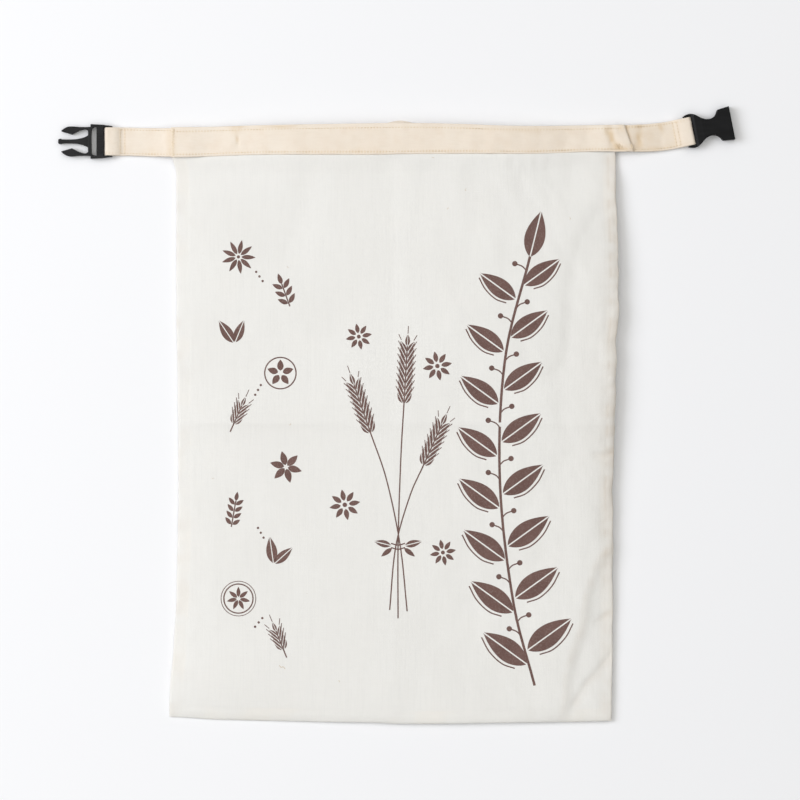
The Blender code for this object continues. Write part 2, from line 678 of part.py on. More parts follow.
def make_female(parts, tools, material):
    """Hollow body, open at its mouth and at both sides of its waist, with two ears."""
    outline = whole_outline(FEMALE_OUTLINE)
    female = make_plate("buckle_female", outline, FEMALE_HEIGHT, FEMALE_EDGE, parts)
    low = (EAR_BACK, -EAR_INSIDE, -FEMALE_HEIGHT)
    high = (FEMALE_BODY_BACK, EAR_INSIDE, FEMALE_HEIGHT)
    strap_slot = make_box("female_strap_slot", low, high, tools)
    boolean(female, strap_slot, "DIFFERENCE")
    for name, side in (("female_upper_shoulder", 1), ("female_lower_shoulder", -1)):
        boolean(female, make_shoulder(name, side, tools), "DIFFERENCE")
    low = (SOCKET_BACK, -SOCKET_HALF_WIDTH, -SOCKET_HEIGHT / 2)
    high = (SOCKET_FRONT, SOCKET_HALF_WIDTH, SOCKET_HEIGHT / 2)
    boolean(female, make_box("female_socket", low, high, tools), "DIFFERENCE")
    boolean(female, make_bar("female_bar", EAR_INSIDE + BAR_ROOT, tools), "UNION")
    seat(female, FEMALE_BAR, FEMALE_HEADING, material)


def main():
    clear_scene()
    parts = make_collection(OBJECT_NAME)
    tools = make_collection("cutters")
    cloth = make_material("cloth", CLOTH_COLOR, WOVEN_ROUGHNESS)
    tape = make_material("tape", TAPE_COLOR, WOVEN_ROUGHNESS)
    plastic = make_material("plastic", PLASTIC_COLOR, PLASTIC_ROUGHNESS)
    make_panels(parts, cloth)
    make_bands(parts, tape)
    make_straps(parts, tape)
    make_male(parts, tools, plastic)
    make_female(parts, tools, plastic)


main()
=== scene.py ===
"""Looks of a roll-top bread bag that lies flat: two cotton panels, a taped mouth, a strap at each
end of it and the two halves of a side-release buckle, seen from straight above.

Metres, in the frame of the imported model: +X to the right, +Y towards the mouth, +Z up."""

from collections import namedtuple
from math import atan2, ceil, cos, hypot, pi, radians, sin

import bpy
import numpy as np
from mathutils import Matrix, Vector, noise
from mathutils.bvhtree import BVHTree


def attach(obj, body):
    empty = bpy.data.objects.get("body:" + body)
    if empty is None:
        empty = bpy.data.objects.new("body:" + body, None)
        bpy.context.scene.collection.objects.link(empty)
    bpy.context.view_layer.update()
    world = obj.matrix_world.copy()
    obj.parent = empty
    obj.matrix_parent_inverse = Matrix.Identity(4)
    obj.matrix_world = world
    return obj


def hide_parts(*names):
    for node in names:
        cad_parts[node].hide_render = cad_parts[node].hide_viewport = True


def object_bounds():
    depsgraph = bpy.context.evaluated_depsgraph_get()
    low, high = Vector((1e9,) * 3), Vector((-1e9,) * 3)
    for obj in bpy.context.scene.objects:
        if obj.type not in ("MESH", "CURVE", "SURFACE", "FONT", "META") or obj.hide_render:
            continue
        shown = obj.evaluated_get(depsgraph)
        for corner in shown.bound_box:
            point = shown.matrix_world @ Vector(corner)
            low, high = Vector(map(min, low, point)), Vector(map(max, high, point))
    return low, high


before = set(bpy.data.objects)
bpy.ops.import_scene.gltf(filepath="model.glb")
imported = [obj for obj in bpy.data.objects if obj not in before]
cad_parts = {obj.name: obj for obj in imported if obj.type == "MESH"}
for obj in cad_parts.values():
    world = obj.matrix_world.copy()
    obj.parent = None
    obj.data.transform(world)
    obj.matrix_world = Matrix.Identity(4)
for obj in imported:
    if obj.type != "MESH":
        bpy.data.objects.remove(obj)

cad_low, cad_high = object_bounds()

# Layers, as thick as the solids that they stand for
CLOTH = 0.001
TAPE = 0.001
CLEAR = 0.0003
CLOTH_SEEN = 0.0006  # the sheets themselves are thinner
TAPE_SEEN = 0.0008

# Along y: the bag's left and right edge, how far its underside stands off the table at each, the
# bulge beside the right seam and how much more air there is towards it
SIDES = [
    (-0.22, -0.1626, 0.1537, 0.0003, 0.0012, 0.0, 0.0),
    (-0.2034, -0.1626, 0.1537, 0.0003, 0.0016, 0.0003, 0.0),
    (-0.1677, -0.1597, 0.1544, 0.0004, 0.0024, 0.0006, 0.0004),
    (-0.132, -0.1576, 0.1544, 0.0005, 0.0031, 0.0007, 0.0014),
    (-0.0606, -0.1562, 0.1544, 0.0006, 0.0058, 0.0008, 0.0042),
    (0.0108, -0.1565, 0.1559, 0.0006, 0.0088, 0.0009, 0.0066),
    (0.0822, -0.1576, 0.158, 0.0005, 0.0094, 0.0009, 0.0068),
    (0.1179, -0.1576, 0.158, 0.0004, 0.0084, 0.0008, 0.0068),
    (0.1536, -0.1576, 0.1569, 0.0003, 0.006, 0.0005, 0.0064),
    (0.165, -0.1577, 0.1567, 0.0002, 0.0046, 0.0003, 0.0064),
    (0.175, -0.1578, 0.1566, 0.0002, 0.0026, 0.0001, 0.0064),
    (0.1843, -0.1604, 0.1566, 0.0002, 0.0006, 0.0, 0.0064),
    (0.21, -0.1604, 0.1566, 0.0002, 0.0006, 0.0, 0.0064),
]
LIFT_REACH = 0.055

# Along x: the bottom edge, how far it stands off the table, and the band's lower and upper edge
ENDS = [
    (-0.1626, -0.2156, 0.0, 0.1841, 0.2055),
    (-0.145, -0.2164, 0.0, 0.1843, 0.2057),
    (-0.1262, -0.2177, 0.0002, 0.185, 0.2061),
    (-0.0976, -0.2184, 0.0005, 0.1857, 0.2068),
    (-0.0405, -0.2195, 0.0018, 0.1857, 0.2078),
    (-0.0119, -0.2199, 0.0022, 0.1857, 0.2082),
    (0.0024, -0.2206, 0.0024, 0.1861, 0.2084),
    (0.0452, -0.2205, 0.003, 0.1864, 0.2077),
    (0.0738, -0.22, 0.0028, 0.1864, 0.2066),
    (0.1023, -0.2198, 0.0022, 0.1866, 0.2064),
    (0.138, -0.2191, 0.0012, 0.1881, 0.2071),
    (0.17, -0.2182, 0.0006, 0.1882, 0.2075),
]
LEFT, RIGHT = -0.1576, 0.156
BOTTOM, TOP = -0.219, 0.2045
PANEL_TUCK = 0.018
BAND_RAMP = 0.014

# Air between the panels
PUFF = 0.0034
RIGHT_PUFF_FROM = -0.12  # the extra air towards the right grows from this x to the next
RIGHT_PUFF_TO = 0.11
BULGE_REACH = 0.04
MOUTH_PUFF = 0.0057
SIDE_REACH = 0.055
BOTTOM_REACH = 0.045
SWELL_POWER = 3.0
MOUTH_REACH = 0.09
MOUTH_FROM = 0.12

# Rims: the panels round over and meet at the seam, half way up the bag's edge
RIM_REACH = 0.0022
RIM_DROP = 0.00105
RIM_LINES = (0.0, 0.00012, 0.00035, 0.0007, 0.0011, 0.0016, 0.0022)
RIM_THIN = 0.0001  # what is left of a sheet's thickness at the seam
SEAM_CLEAR = 0.00003
EDGE_ZONE = 0.016  # the mesh is finer up to here from an edge
EDGE_STEP = 0.0011
CLOTH_STEP = 0.0019
LEFT_STEP, RIGHT_STEP = 0.0023, 0.0014  # between the front's columns, left and right of this line
FINER_FROM = 0.095
BACK_STEP = 0.0036
SEAM_ALLOWANCE = 0.0102  # the doubled strip inside each seam, drawn down a little
SEAM_RISE = -0.00012
SEAM_FADE = 0.0016
BAND_FADE = 0.0035  # the folds fade out over this below the band
RIM_FADE = 0.002  # and to a quarter over this at the rims
SHARP_ANGLE = radians(60)
RIGHT_ROLL = 0.0075  # the right seam's edge turns down over this width
RIGHT_ROLL_DROP = 0.0008
BOTTOM_SINK = 0.0005  # how far the bottom seam is pressed down, over the width below
BOTTOM_SINK_REACH = 0.005
SEAM_LINE = 0.0056  # from the right edge to its row of sewing

# Unevenness: its height, the size of its features and the seed of its noise
Waves = namedtuple("Waves", "height size seed")
CLOTH_WAVES = Waves(0.0005, 0.06, 20.0)
RIGHT_WAVES = Waves(0.0004, 0.019, 30.0)  # this and the next grow towards the right
RIGHT_PATCHES = Waves(0.0003, 0.0095, 35.0)
FINE_WAVES = Waves(0.00007, 0.006, 40.0)
BACK_WAVES = Waves(0.0003, 0.022, 60.0)
RIGHT_GATHERS = Waves(0.0008, 0.0045, 3.0)
LEFT_GATHERS = Waves(0.0003, 0.0055, 7.0)
BOTTOM_GATHERS = Waves(0.00032, 0.0055, 11.0)
RIGHT_WOBBLE = Waves(0.0013, 0.021, 50.0)  # of the side edges
RIGHT_FINE_WOBBLE = Waves(0.0004, 0.007, 53.0)
LEFT_WOBBLE = Waves(0.0006, 0.018, 51.0)
SEAM_SPOTS = Waves(1.6, 0.0075, 90.0)  # of soil, here and in the next two
LEFT_SEAM_SPOTS = Waves(1.6, 0.012, 95.0)
# These spots break up the folds' soil and painted shade alike
FOLD_SPOTS = Waves(0.9, 0.008, 97.0)
GROOVE_WAVES = Waves(1.0, 0.004, 4.0)
TAPE_WAVES = Waves(0.0003, 0.012, 70.0)
TAPE_FINE_WAVES = Waves(0.00012, 0.004, 75.0)
EDGE_FADE = 0.006  # what lies beside the left or bottom edge dies away over this
RIGHT_FADE = 0.0065  # and the gathers beside the right edge over this
WOBBLE_FADE = 0.01  # and the wobble of the side edges over this
GROOVE = -0.00022  # height of the line drawn in by the right seam's row of sewing
GROOVE_REACH = 0.0008  # to each side of it
# Spans along y beside the right seam: the start, the length it comes in over, the end and the
# length it goes out over
SOILED_SPAN = (-0.13, 0.07, 0.21, 0.03)
BROADLY_SOILED_SPAN = (-0.1, 0.08, 0.14, 0.08)
GATHERED_SPAN = (-0.09, 0.05, 0.17, 0.05)
ROLLED_SPAN = (-0.12, 0.1, 0.17, 0.03)
# How far the cloth is greyer beside the pressed line, and how far soil and painted shade reach beside the
# sharp folds and the back's right edge
PRESSED_GREYING = {"left": 0.0012, "right": 0.009}
FOLD_SOIL_AND_SHADE = {"left": 0.002, "right": 0.0044}
BACK_SOIL_AND_SHADE = 0.013
CALM_LIFT = 0.001  # the back gets uneven up to this height above the table

# Folds of the front panel. A path runs along each one, upwards or to the right. Height is up,
# and left and right are how wide it is to both sides of the path. It fades in and out over the
# last length. A pressed fold has a sharp line.
Fold = namedtuple("Fold", "path height left right fade pressed", defaults=(False,))
FOLDS = [
    # The cross pressed in when the bag lay folded in four: level on one side, a slope on the other
    Fold([(-0.0016, -0.0075), (-0.0019, 0.198)], -0.00056, 0.06, 0.0095, 0.002, True),
    Fold([(-0.003, -0.222), (-0.0019, -0.0075)], 0.0006, 0.06, 0.025, 0.01, True),
    Fold([(-0.164, -0.007), (0.0052, -0.0064), (0.088, -0.007), (0.164, -0.0077)],
         0.0005, 0.06, 0.009, 0.002, True),
    # Soft troughs below the band
    Fold([(-0.0176, 0.1593), (-0.0105, 0.1736), (-0.003, 0.198)], -0.00036, 0.005, 0.008, 0.02),
    Fold([(-0.083, 0.0965), (-0.0748, 0.1179), (-0.0633, 0.1657), (-0.0576, 0.199)],
         -0.00044, 0.0075, 0.012, 0.03),
    Fold([(0.0195, 0.1279), (0.0223, 0.1586), (0.0295, 0.198)], -0.00036, 0.008, 0.011, 0.02),
    Fold([(0.0495, 0.105), (0.0466, 0.15), (0.0438, 0.198)], 0.00042, 0.008, 0.0065, 0.03),
    # Puckers where the band is sewn on
    Fold([(0.083, 0.17), (0.083, 0.198)], -0.00056, 0.0028, 0.0038, 0.01),
    Fold([(0.0983, 0.142), (0.0902, 0.1607), (0.0845, 0.176)], -0.0004, 0.0038, 0.006, 0.01),
    Fold([(0.0985, 0.169), (0.0923, 0.198)], 0.00044, 0.0032, 0.003, 0.01),
    Fold([(0.103, 0.168), (0.1052, 0.198)], 0.0003, 0.0038, 0.0035, 0.01),
    Fold([(0.1209, 0.156), (0.1266, 0.188)], -0.00026, 0.0038, 0.005, 0.01),
    Fold([(-0.15, 0.153), (-0.1476, 0.176)], -0.00016, 0.003, 0.004, 0.01),
    # The long curved trough on the right and the ridge beside it
    Fold([(0.101, 0.018), (0.1208, 0.0372), (0.125, 0.0658), (0.127, 0.0893),
          (0.1323, 0.1229), (0.1466, 0.1464), (0.153, 0.162)], -0.001, 0.0066, 0.022, 0.02),
    Fold([(0.1437, 0.044), (0.145, 0.0608), (0.147, 0.086)], 0.0003, 0.0045, 0.0034, 0.01),
    Fold([(0.148, 0.029), (0.1433, 0.0422), (0.146, 0.064)], -0.0003, 0.0024, 0.004, 0.01),
    Fold([(0.1235, -0.038), (0.138, -0.052)], -0.00022, 0.003, 0.004, 0.008),
    # The broad ridge above the lower right corner and the step down beside it
    Fold([(0.1, -0.196), (0.111, -0.1556), (0.125, -0.1106), (0.1374, -0.0749), (0.151, -0.03)],
         0.0004, 0.016, 0.011, 0.03),
    Fold([(0.078, -0.081), (0.0916, -0.0663), (0.1166, -0.0356), (0.1344, -0.0106)],
         -0.00034, 0.0052, 0.008, 0.02),
    # Faint ones in the lower half
    Fold([(-0.0353, -0.156), (-0.0099, -0.1209)], 0.00022, 0.009, 0.007, 0.012),
    Fold([(0.0382, -0.155), (0.0586, -0.1205)], -0.00024, 0.007, 0.01, 0.012),
    Fold([(0.0832, -0.2), (0.108, -0.1577)], -0.00026, 0.006, 0.009, 0.012),
    Fold([(-0.1397, -0.169), (-0.139, -0.1286)], -0.00014, 0.0022, 0.003, 0.008),
    Fold([(-0.1197, -0.108), (-0.1205, -0.0538)], -0.00016, 0.0045, 0.006, 0.012),
    Fold([(-0.1312, -0.138), (-0.1319, -0.0423)], 0.00016, 0.006, 0.005, 0.015),
    Fold([(-0.1514, 0.012), (-0.1466, 0.0352)], -0.00014, 0.003, 0.004, 0.008),
    Fold([(-0.15, -0.217), (-0.1525, -0.191)], -0.00022, 0.003, 0.004, 0.008),
]
# Sharper ones, browner and darker along their lines, soil with painted shade in their troughs: a pinch
# at the right seam and the folds that pull to the lower right corner
SOILED_AND_SHADED_FOLDS = [
    Fold([(0.138, -0.0262), (0.1459, -0.0285), (0.159, -0.0245)], -0.0009, 0.0018, 0.0028, 0.006),
    Fold([(0.1165, -0.222), (0.1193, -0.2034), (0.1207, -0.1877), (0.1229, -0.1763), (0.1264, -0.1649),
          (0.1307, -0.1534), (0.1329, -0.142), (0.1343, -0.1306), (0.1386, -0.1149), (0.1422, -0.1063),
          (0.1493, -0.0977), (0.159, -0.092)], 0.00135, 0.04, 0.0046, 0.012),
    Fold([(0.1392, -0.15), (0.1462, -0.1446), (0.1535, -0.1405), (0.16, -0.139)],
         -0.00055, 0.0018, 0.004, 0.006),
    Fold([(0.124, -0.213), (0.1291, -0.202), (0.1355, -0.192), (0.1441, -0.182), (0.1527, -0.172),
          (0.16, -0.166)], -0.00075, 0.0024, 0.006, 0.008),
]
FOLDS += SOILED_AND_SHADED_FOLDS
FOLD_STEPS = 6  # points between two points of a path, on a smooth curve

# The bands
BAND_LEFT = -0.1611
BAND_RIGHT_LOW = 0.1694
BAND_RIGHT_HIGH = 0.1627
BACK_BAND_RIGHT = 0.156
BACK_BAND_PEEP = 0.0024
PEEP_X = 0.0024
PEEP_REACH = 0.015
BAND_STEP = 0.018
OVER_STRAP = 0.0017
BAND_LIE = 0.0001  # between the cloth and the front band
BAND_MESH_STEP = 0.001
BAND_UPPER_ROW = 0.003  # from the band's upper edge to its row of stitches
BAND_LOWER_ROW = 0.0019

# The straps
STRAP_WIDTH = 0.0202
STRAP_TAIL = 0.0147
TAIL_DROP = 0.0009
LOOP_RADIUS = 0.002
LOOP_STEPS = 20
# How far the upper layer has come down from the loop to the tail, by its distance from the bar
OVER_LAYER = [(0.0, 0.0), (0.0026, 0.04), (0.0062, 0.27), (0.0103, 0.9), (0.0157, 1.0)]
STRAP_STEP = 0.001
TURN_STEP = 0.001
STRAP_LIE = 1.5 * CLEAR
LEFT_STRAP_END, RIGHT_STRAP_END = -0.15, 0.151

# Sewing
STITCH_PITCH = 0.0022
STITCH_GAP = 0.0006
THREAD_RADIUS = 0.00021
ROW_START = 0.0012  # from a band's ends to its rows of stitches
STRAP_ROW = 0.0017  # from a strap's edge to its row of stitches
STRAP_CROSS = 0.0034  # between the two cross rows that close a strap's loop
STRAP_ROW_END = 0.004  # a strap's rows stop this far from its end in the bag
CROSS_POINTS = 9
CROSS_REACH = 0.9  # of those rows, as a share of the half width
# The band's zigzags: one across it, with its place, width and reach, and one along it, from
# and to these places, between two shares of the half width
END_ZIGZAG = (0.0016, 0.0026, 0.93)
LONG_ZIGZAG = (0.3176, 0.3296, 0.38, 0.8)
ZIGZAG_POINTS = 17

# The print
INK_LIFT = 0.00013
INK_THICKNESS = 0.00008
INK_STEP = 0.0022
INK_LINE = 0.0009
INK_SLIVER = 0.00005  # ink never gets thinner than this beside a slit or in a disc's middle
FINE_LINE = 0.0005
LEAF_BLUNT = 0.8  # below 1, a leaf is widest nearer to its stem
LEAF_ROUND = 0.85  # below 1, its outline is fuller
SMALL_SLIT, LEAF_SLIT, BOLD_SLIT = 0.0005, 0.0007, 0.001  # along the ribs of grains and leaves
GRAIN_TURN, SPRIG_TURN, BOLD_TURN = radians(30), radians(48), radians(54)  # away from a stem
RING_STEP = 0.001
STROKE_STEPS = 8  # points between two points of a line of ink

# Floor, camera and light
FLOOR_REACH = 4.0
FLOOR_BELOW = 0.0002
FLOOR_COLOUR = (0.888, 0.888, 0.893)
CAMERA_X, CAMERA_Y = 0.0024, 0.0108
CAMERA_HEIGHT = 2.4
CAMERA_SENSOR = 36.0  # millimetres
PICTURE_WIDTH = 0.5726  # what the picture spans on the table
KEY_BEARING = radians(168.0)  # from +X, counter-clockwise
KEY_ELEVATION = radians(42.0)
KEY_DISTANCE = 3.0
KEY_SIZE = 1.95
KEY_POWER = 52.7
KEY_COLOUR = (0.915, 0.935, 1.0)
# The dome is bright round this direction, and falls off to dim at the horizon
DOME_BEARING = radians(90.0)
DOME_ELEVATION = radians(86.0)
DOME_FROM, DOME_TO = 0.4, 0.95  # cosines of the angle from that direction
DOME_DIM, DOME_BRIGHT = 0.064, 1.268
DOME_COLOUR = (1.0, 0.995, 0.975, 1)


# Smooth functions, for numbers and arrays


def through(knots):
    """A smooth function through (place, value) knots, level past both ends."""
    places, values = (np.array(column, float) for column in zip(*knots))
    slopes = np.gradient(values, places)
    slopes[1:-1] = (values[2:] - values[:-2]) / (places[2:] - places[:-2])

    def value(place):
        place = np.clip(place, places[0], places[-1])
        i = np.clip(np.searchsorted(places, place, side="right"), 1, len(places) - 1) - 1
        span = places[i + 1] - places[i]
        t = (place - places[i]) / span
        start = (1 + 2 * t) * (1 - t) ** 2 * values[i] + t * (1 - t) ** 2 * span * slopes[i]
        end = t * t * (3 - 2 * t) * values[i + 1] + t * t * (t - 1) * span * slopes[i + 1]
        return start + end

    return value


def ease(t):
    """0 to 1, level at both ends."""
    t = np.clip(t, 0.0, 1.0)
    return t * t * (3 - 2 * t)


def swell(t):
    """0 to 1, steep at the start like a seam under air, level at the end."""
    return 1 - (1 - np.clip(t, 0.0, 1.0)) ** SWELL_POWER


def stations(start, end, step):
    return np.linspace(start, end, max(round(abs(end - start) / step), 1) + 1)


def ripple(x, y, size, seed):
    """Smooth noise, about -0.5 to 0.5, with features of that size."""
    x, y = np.broadcast_arrays(x, y)
    values = [noise.noise(Vector((u / size, v / size, seed))) for u, v in zip(x.flat, y.flat)]
    return np.array(values).reshape(x.shape)


def waves(layer, x, y=0.0):
    return layer.height * ripple(x, y, layer.size, layer.seed)


def smooth_path(points, steps):
    """A smooth curve through points in the plane."""
    points = np.array(points, float)
    runs = np.hypot(*np.diff(points, axis=0).T)
    along = np.concatenate([[0.0], np.cumsum(runs)])
    fine = np.linspace(0.0, along[-1], steps * len(runs) + 1)
    columns = [through(list(zip(along, points[:, axis])))(fine) for axis in (0, 1)]
    return np.stack(columns, axis=-1)


def bell(t):
    """1 at 0, down to nothing on both sides."""
    return np.exp(-t * t)


def fading(distance, reach):
    """1 at an edge, dying away from it."""
    return np.exp(-distance / reach)


def between(value, start, over, end, before):
    """Rises from 0 at the start to 1 over a length, and is back at 0 at the end."""
    return ease((value - start) / over) * ease((end - value) / before)


def hump(t):
    """0 at 0 and 1, 1 in the middle, level at all three."""
    t = np.clip(t, 0.0, 1.0)
    return (4 * t * (1 - t)) ** 2


def columns_through(rows):
    """A smooth function of the first column for each of the others."""
    places, *columns = zip(*rows)
    return [through(list(zip(places, column))) for column in columns]


left_edge, right_edge, left_lift, right_lift, bulge, right_puff = columns_through(SIDES)
bottom_edge, bottom_lift, band_low, band_high = columns_through(ENDS)


# Heights of the layers, as in the solids


def table_lift(x, y):
    from_left = ease(1 - (x - left_edge(y)) / LIFT_REACH)
    from_right = ease(1 - (right_edge(y) - x) / LIFT_REACH)
    from_bottom = ease(1 - (y - bottom_edge(x)) / LIFT_REACH)
    return left_lift(y) * from_left + right_lift(y) * from_right + bottom_lift(x) * from_bottom


def back_under(x, y):
    on_band = ease((y - band_low(x) + BAND_RAMP) / (BAND_RAMP - CLEAR))
    return table_lift(x, y) + (TAPE + CLEAR) * on_band


def gap(x, y):
    left, right, bottom = x - left_edge(y), right_edge(y) - x, y - bottom_edge(x)
    full = swell(left / SIDE_REACH) * swell(right / SIDE_REACH) * swell(bottom / BOTTOM_REACH)
    middle = ease(left / MOUTH_REACH) * ease(right / MOUTH_REACH)
    to_mouth = ease((y - MOUTH_FROM) / (band_low(x) - MOUTH_FROM))
    share = full * (1 - to_mouth) + middle * to_mouth
    to_right = ease((x - RIGHT_PUFF_FROM) / (RIGHT_PUFF_TO - RIGHT_PUFF_FROM))
    height = (PUFF + right_puff(y) * to_right) * (1 - to_mouth) + MOUTH_PUFF * to_mouth
    height = height - table_lift(x, y)
    beside_seam = bulge(y) * hump(right / BULGE_REACH)
    return CLEAR + share * np.maximum(height, 0.0) + beside_seam * (1 - to_mouth)


def front_top(x, y):
    return back_under(x, y) + CLOTH + gap(x, y) + CLOTH


def mouth_height(x):
    """Top of the front panel under the middle of the band, level past the side seams."""
    middle = (band_low(x) + band_high(x)) / 2
    inside = np.clip(x, left_edge(middle), right_edge(middle))
    return np.maximum(front_top(inside, band_low(x)), front_top(inside, middle))


def over_strap(x):
    """How far a strap's end holds the front band up."""
    left = ease((LEFT_STRAP_END + BAND_STEP - x) / BAND_STEP)
    right = ease((x - RIGHT_STRAP_END + BAND_STEP) / BAND_STEP)
    return OVER_STRAP * np.maximum(left, right)


# Folds


def beside_path(x, y, path):
    """How far each point lies to the left of a path, and its place along it."""
    nearest = np.full(np.shape(x), np.inf)
    aside, along, done = np.zeros(np.shape(x)), np.zeros(np.shape(x)), 0.0
    for (x1, y1), (x2, y2) in zip(path, path[1:]):
        run_x, run_y = x2 - x1, y2 - y1
        length = hypot(run_x, run_y)
        t = np.clip(((x - x1) * run_x + (y - y1) * run_y) / length**2, 0.0, 1.0)
        off_x, off_y = x - x1 - t * run_x, y - y1 - t * run_y
        distance = np.hypot(off_x, off_y)
        closer = distance < nearest
        nearest = np.where(closer, distance, nearest)
        side = np.sign(run_x * off_y - run_y * off_x)
        aside = np.where(closer, side * distance, aside)
        along = np.where(closer, done + t * length, along)
        done += length
    return aside, along, done


def fold_share(x, y, fold):
    """1 on a fold's line, 0 away from it."""
    path = smooth_path(fold.path, FOLD_STEPS)
    aside, along, length = beside_path(x, y, path)
    t = np.abs(aside) / np.where(aside > 0, fold.left, fold.right)
    across = np.exp(-1.6 * t) if fold.pressed else bell(t)
    return across * between(along, 0.0, fold.fade, length, fold.fade)


def folds(x, y):
    return sum(fold.height * fold_share(x, y, fold) for fold in FOLDS)


def pressed_line(x, y):
    """1 on the line pressed across the bag, where the cloth is a little greyer along and below it."""
    line = next(fold for fold in reversed(FOLDS) if fold.pressed)
    return fold_share(x, y, line._replace(**PRESSED_GREYING))


def fold_soil(x, y):
    """How soiled the cloth is along the sharp folds, with painted shade in their troughs, 0 to 1."""
    shares = [fold_share(x, y, fold._replace(**FOLD_SOIL_AND_SHADE)) for fold in SOILED_AND_SHADED_FOLDS]
    return sum(shares) * (0.75 + waves(FOLD_SPOTS, x, y))


def seam_soil(y, left, right):
    """How soiled the cloth is beside the side seams, with painted shade on the right seam's very edge, 0
    to 1.
    """
    busy = 0.35 + 0.65 * between(y, *SOILED_SPAN)
    broad = 0.16 * between(y, *BROADLY_SOILED_SPAN) * bell(right / 0.03)
    spots = ease(0.5 + waves(SEAM_SPOTS, y, right / 2))
    line = 0.6 * bell((right - SEAM_LINE) / 0.0009)
    from_right = busy * ((0.5 + 0.5 * spots) * bell(right / 0.0082) + line * spots)
    # Painted shade: the right seam's very edge, where it rolls down, is darkened further
    from_right = from_right + 0.22 * bell(right / 0.0026)
    from_left = 0.5 * ease(0.2 + waves(LEFT_SEAM_SPOTS, y, left)) * fading(left, EDGE_FADE)
    return np.clip(from_right + broad + from_left, 0.0, 1.3)


def seam_puckers(x, y, left, right, bottom):
    """Small gathers that run in from the sewn edges."""
    busy = 0.45 + 0.85 * between(y, *GATHERED_SPAN)
    gathers = waves(RIGHT_GATHERS, y, right / 4) * fading(right, RIGHT_FADE)
    uneven = 0.7 + waves(GROOVE_WAVES, y)
    groove = GROOVE * uneven * bell((right - SEAM_LINE) / GROOVE_REACH)
    from_right = busy * (gathers + groove)
    from_left = waves(LEFT_GATHERS, y, left / 4) * fading(left, EDGE_FADE)
    from_bottom = waves(BOTTOM_GATHERS, x, bottom / 4) * fading(bottom, EDGE_FADE)
    return from_right + from_left + from_bottom


def right_roll(y, right):
    """How far the right seam rolls down, where it stands clear of the table."""
    share = ease(1 - right / RIGHT_ROLL) ** 2 * between(y, *ROLLED_SPAN)
    return -RIGHT_ROLL_DROP * share


def bottom_sink(bottom):
    """How far the bottom seam is pressed down, for the thin edge that is seen there."""
    return BOTTOM_SINK * ease(1 - bottom / BOTTOM_SINK_REACH)


def waviness(x, y):
    """The cloth's slight unevenness, more of it towards the right."""
    right_side = ease((x + 0.02) / 0.12)
    medium = (0.4 + 1.05 * right_side) * waves(RIGHT_WAVES, x, y * 0.6)
    patches = right_side * waves(RIGHT_PATCHES, x + 0.4 * y, y * 0.5)
    return waves(CLOTH_WAVES, x, y) + medium + patches + waves(FINE_WAVES, x, y)


# Meshes


def add_object(name, data):
    added = bpy.data.objects.new(name, data)
    bpy.context.scene.collection.objects.link(added)
    return added


def add_mesh(name, points, faces, material):
    mesh = bpy.data.meshes.new(name)
    mesh.from_pydata(points, [], faces)
    mesh.materials.append(material)
    return add_object(name, mesh)


def joined_mesh(name, layers, material, **attributes):
    """Closed sheets in one mesh. Each layer is an (upper, lower) pair of grids of points. An
    attribute is one grid of values, for a mesh with a single layer."""
    points, faces, start = [], [], 0
    for upper, lower in layers:
        rows, columns = upper.shape[:2]
        count = rows * columns
        points += [upper.reshape(-1, 3), lower.reshape(-1, 3)]
        index = np.arange(count).reshape(rows, columns) + start
        corners = (index[:-1, :-1], index[:-1, 1:], index[1:, 1:], index[1:, :-1])
        top = np.stack(corners, axis=-1).reshape(-1, 4)
        rim = np.concatenate([index[0, :-1], index[:-1, -1], index[-1, :0:-1], index[:0:-1, 0]])
        ahead = np.roll(rim, -1)
        wall = np.stack((ahead, rim, rim + count, ahead + count), axis=-1)
        faces += [top, top[:, ::-1] + count, wall]
        start += 2 * count
    piece = add_mesh(name, np.concatenate(points).tolist(), np.concatenate(faces).tolist(), material)
    for key, grid in attributes.items():
        attribute = piece.data.attributes.new(key, "FLOAT", "POINT")
        attribute.data.foreach_set("value", np.tile(grid.reshape(-1), 2).astype(np.float32))
    piece.data.shade_smooth()
    piece.data.set_sharp_from_angle(angle=SHARP_ANGLE)
    return piece


def place(piece, slot, *nodes):
    """The piece rides on the one body, in place of the given solids, which are hidden."""
    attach(piece, "root")
    if nodes:
        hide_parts(*nodes)
    return piece


def normals(grid):
    """Unit normals of a grid of points, up where its columns run to +X and its rows to +Y."""
    across = np.gradient(grid, axis=1)
    along = np.gradient(grid, axis=0)
    normal = np.cross(across, along)
    return normal / np.linalg.norm(normal, axis=-1, keepdims=True)


def grid_lines(start, end, step, fine_at_end, finer=()):
    """Places of a panel's mesh lines: close at the rims, then even, with a finer step past a
    place where one is given."""
    rim = [start + line for line in RIM_LINES]
    zone = list(stations(rim[-1], start + EDGE_ZONE, min(step, EDGE_STEP))[1:])
    far = [end - (line - start) for line in reversed(rim + zone)] if fine_at_end else [end]
    knots = [zone[-1], *(place for place, _ in finer), far[0]]
    steps = [step, *(closer for _, closer in finer)]
    middle = [line for a, b, gap in zip(knots, knots[1:], steps) for line in stations(a, b, gap)[1:]]
    return np.array(rim + zone + middle[:-1] + far)


def panel_grid(columns, rows):
    """Each point's x and y, and how far it lies from the left, right and bottom edges."""
    column, row = np.meshgrid(columns, rows)
    across = (column - LEFT) / (RIGHT - LEFT)
    up = (row - BOTTOM) / (TOP - BOTTOM)
    height = band_low(column) + PANEL_TUCK - bottom_edge(column)
    y = bottom_edge(column) + up * height
    width = right_edge(y) - left_edge(y)
    x = left_edge(y) + across * width
    return x, y, across * width, (1 - across) * width, up * height


def rim_round(left, right, bottom):
    """How far the rounded rim has come down, from nothing to RIM_DROP at the seam."""
    t = [np.clip(1 - distance / RIM_REACH, 0.0, 1.0) for distance in (left, right, bottom)]
    t = np.clip(np.sqrt(sum(share * share for share in t)), 0.0, 1.0)
    return RIM_DROP * (1 - np.sqrt(1 - t * t))


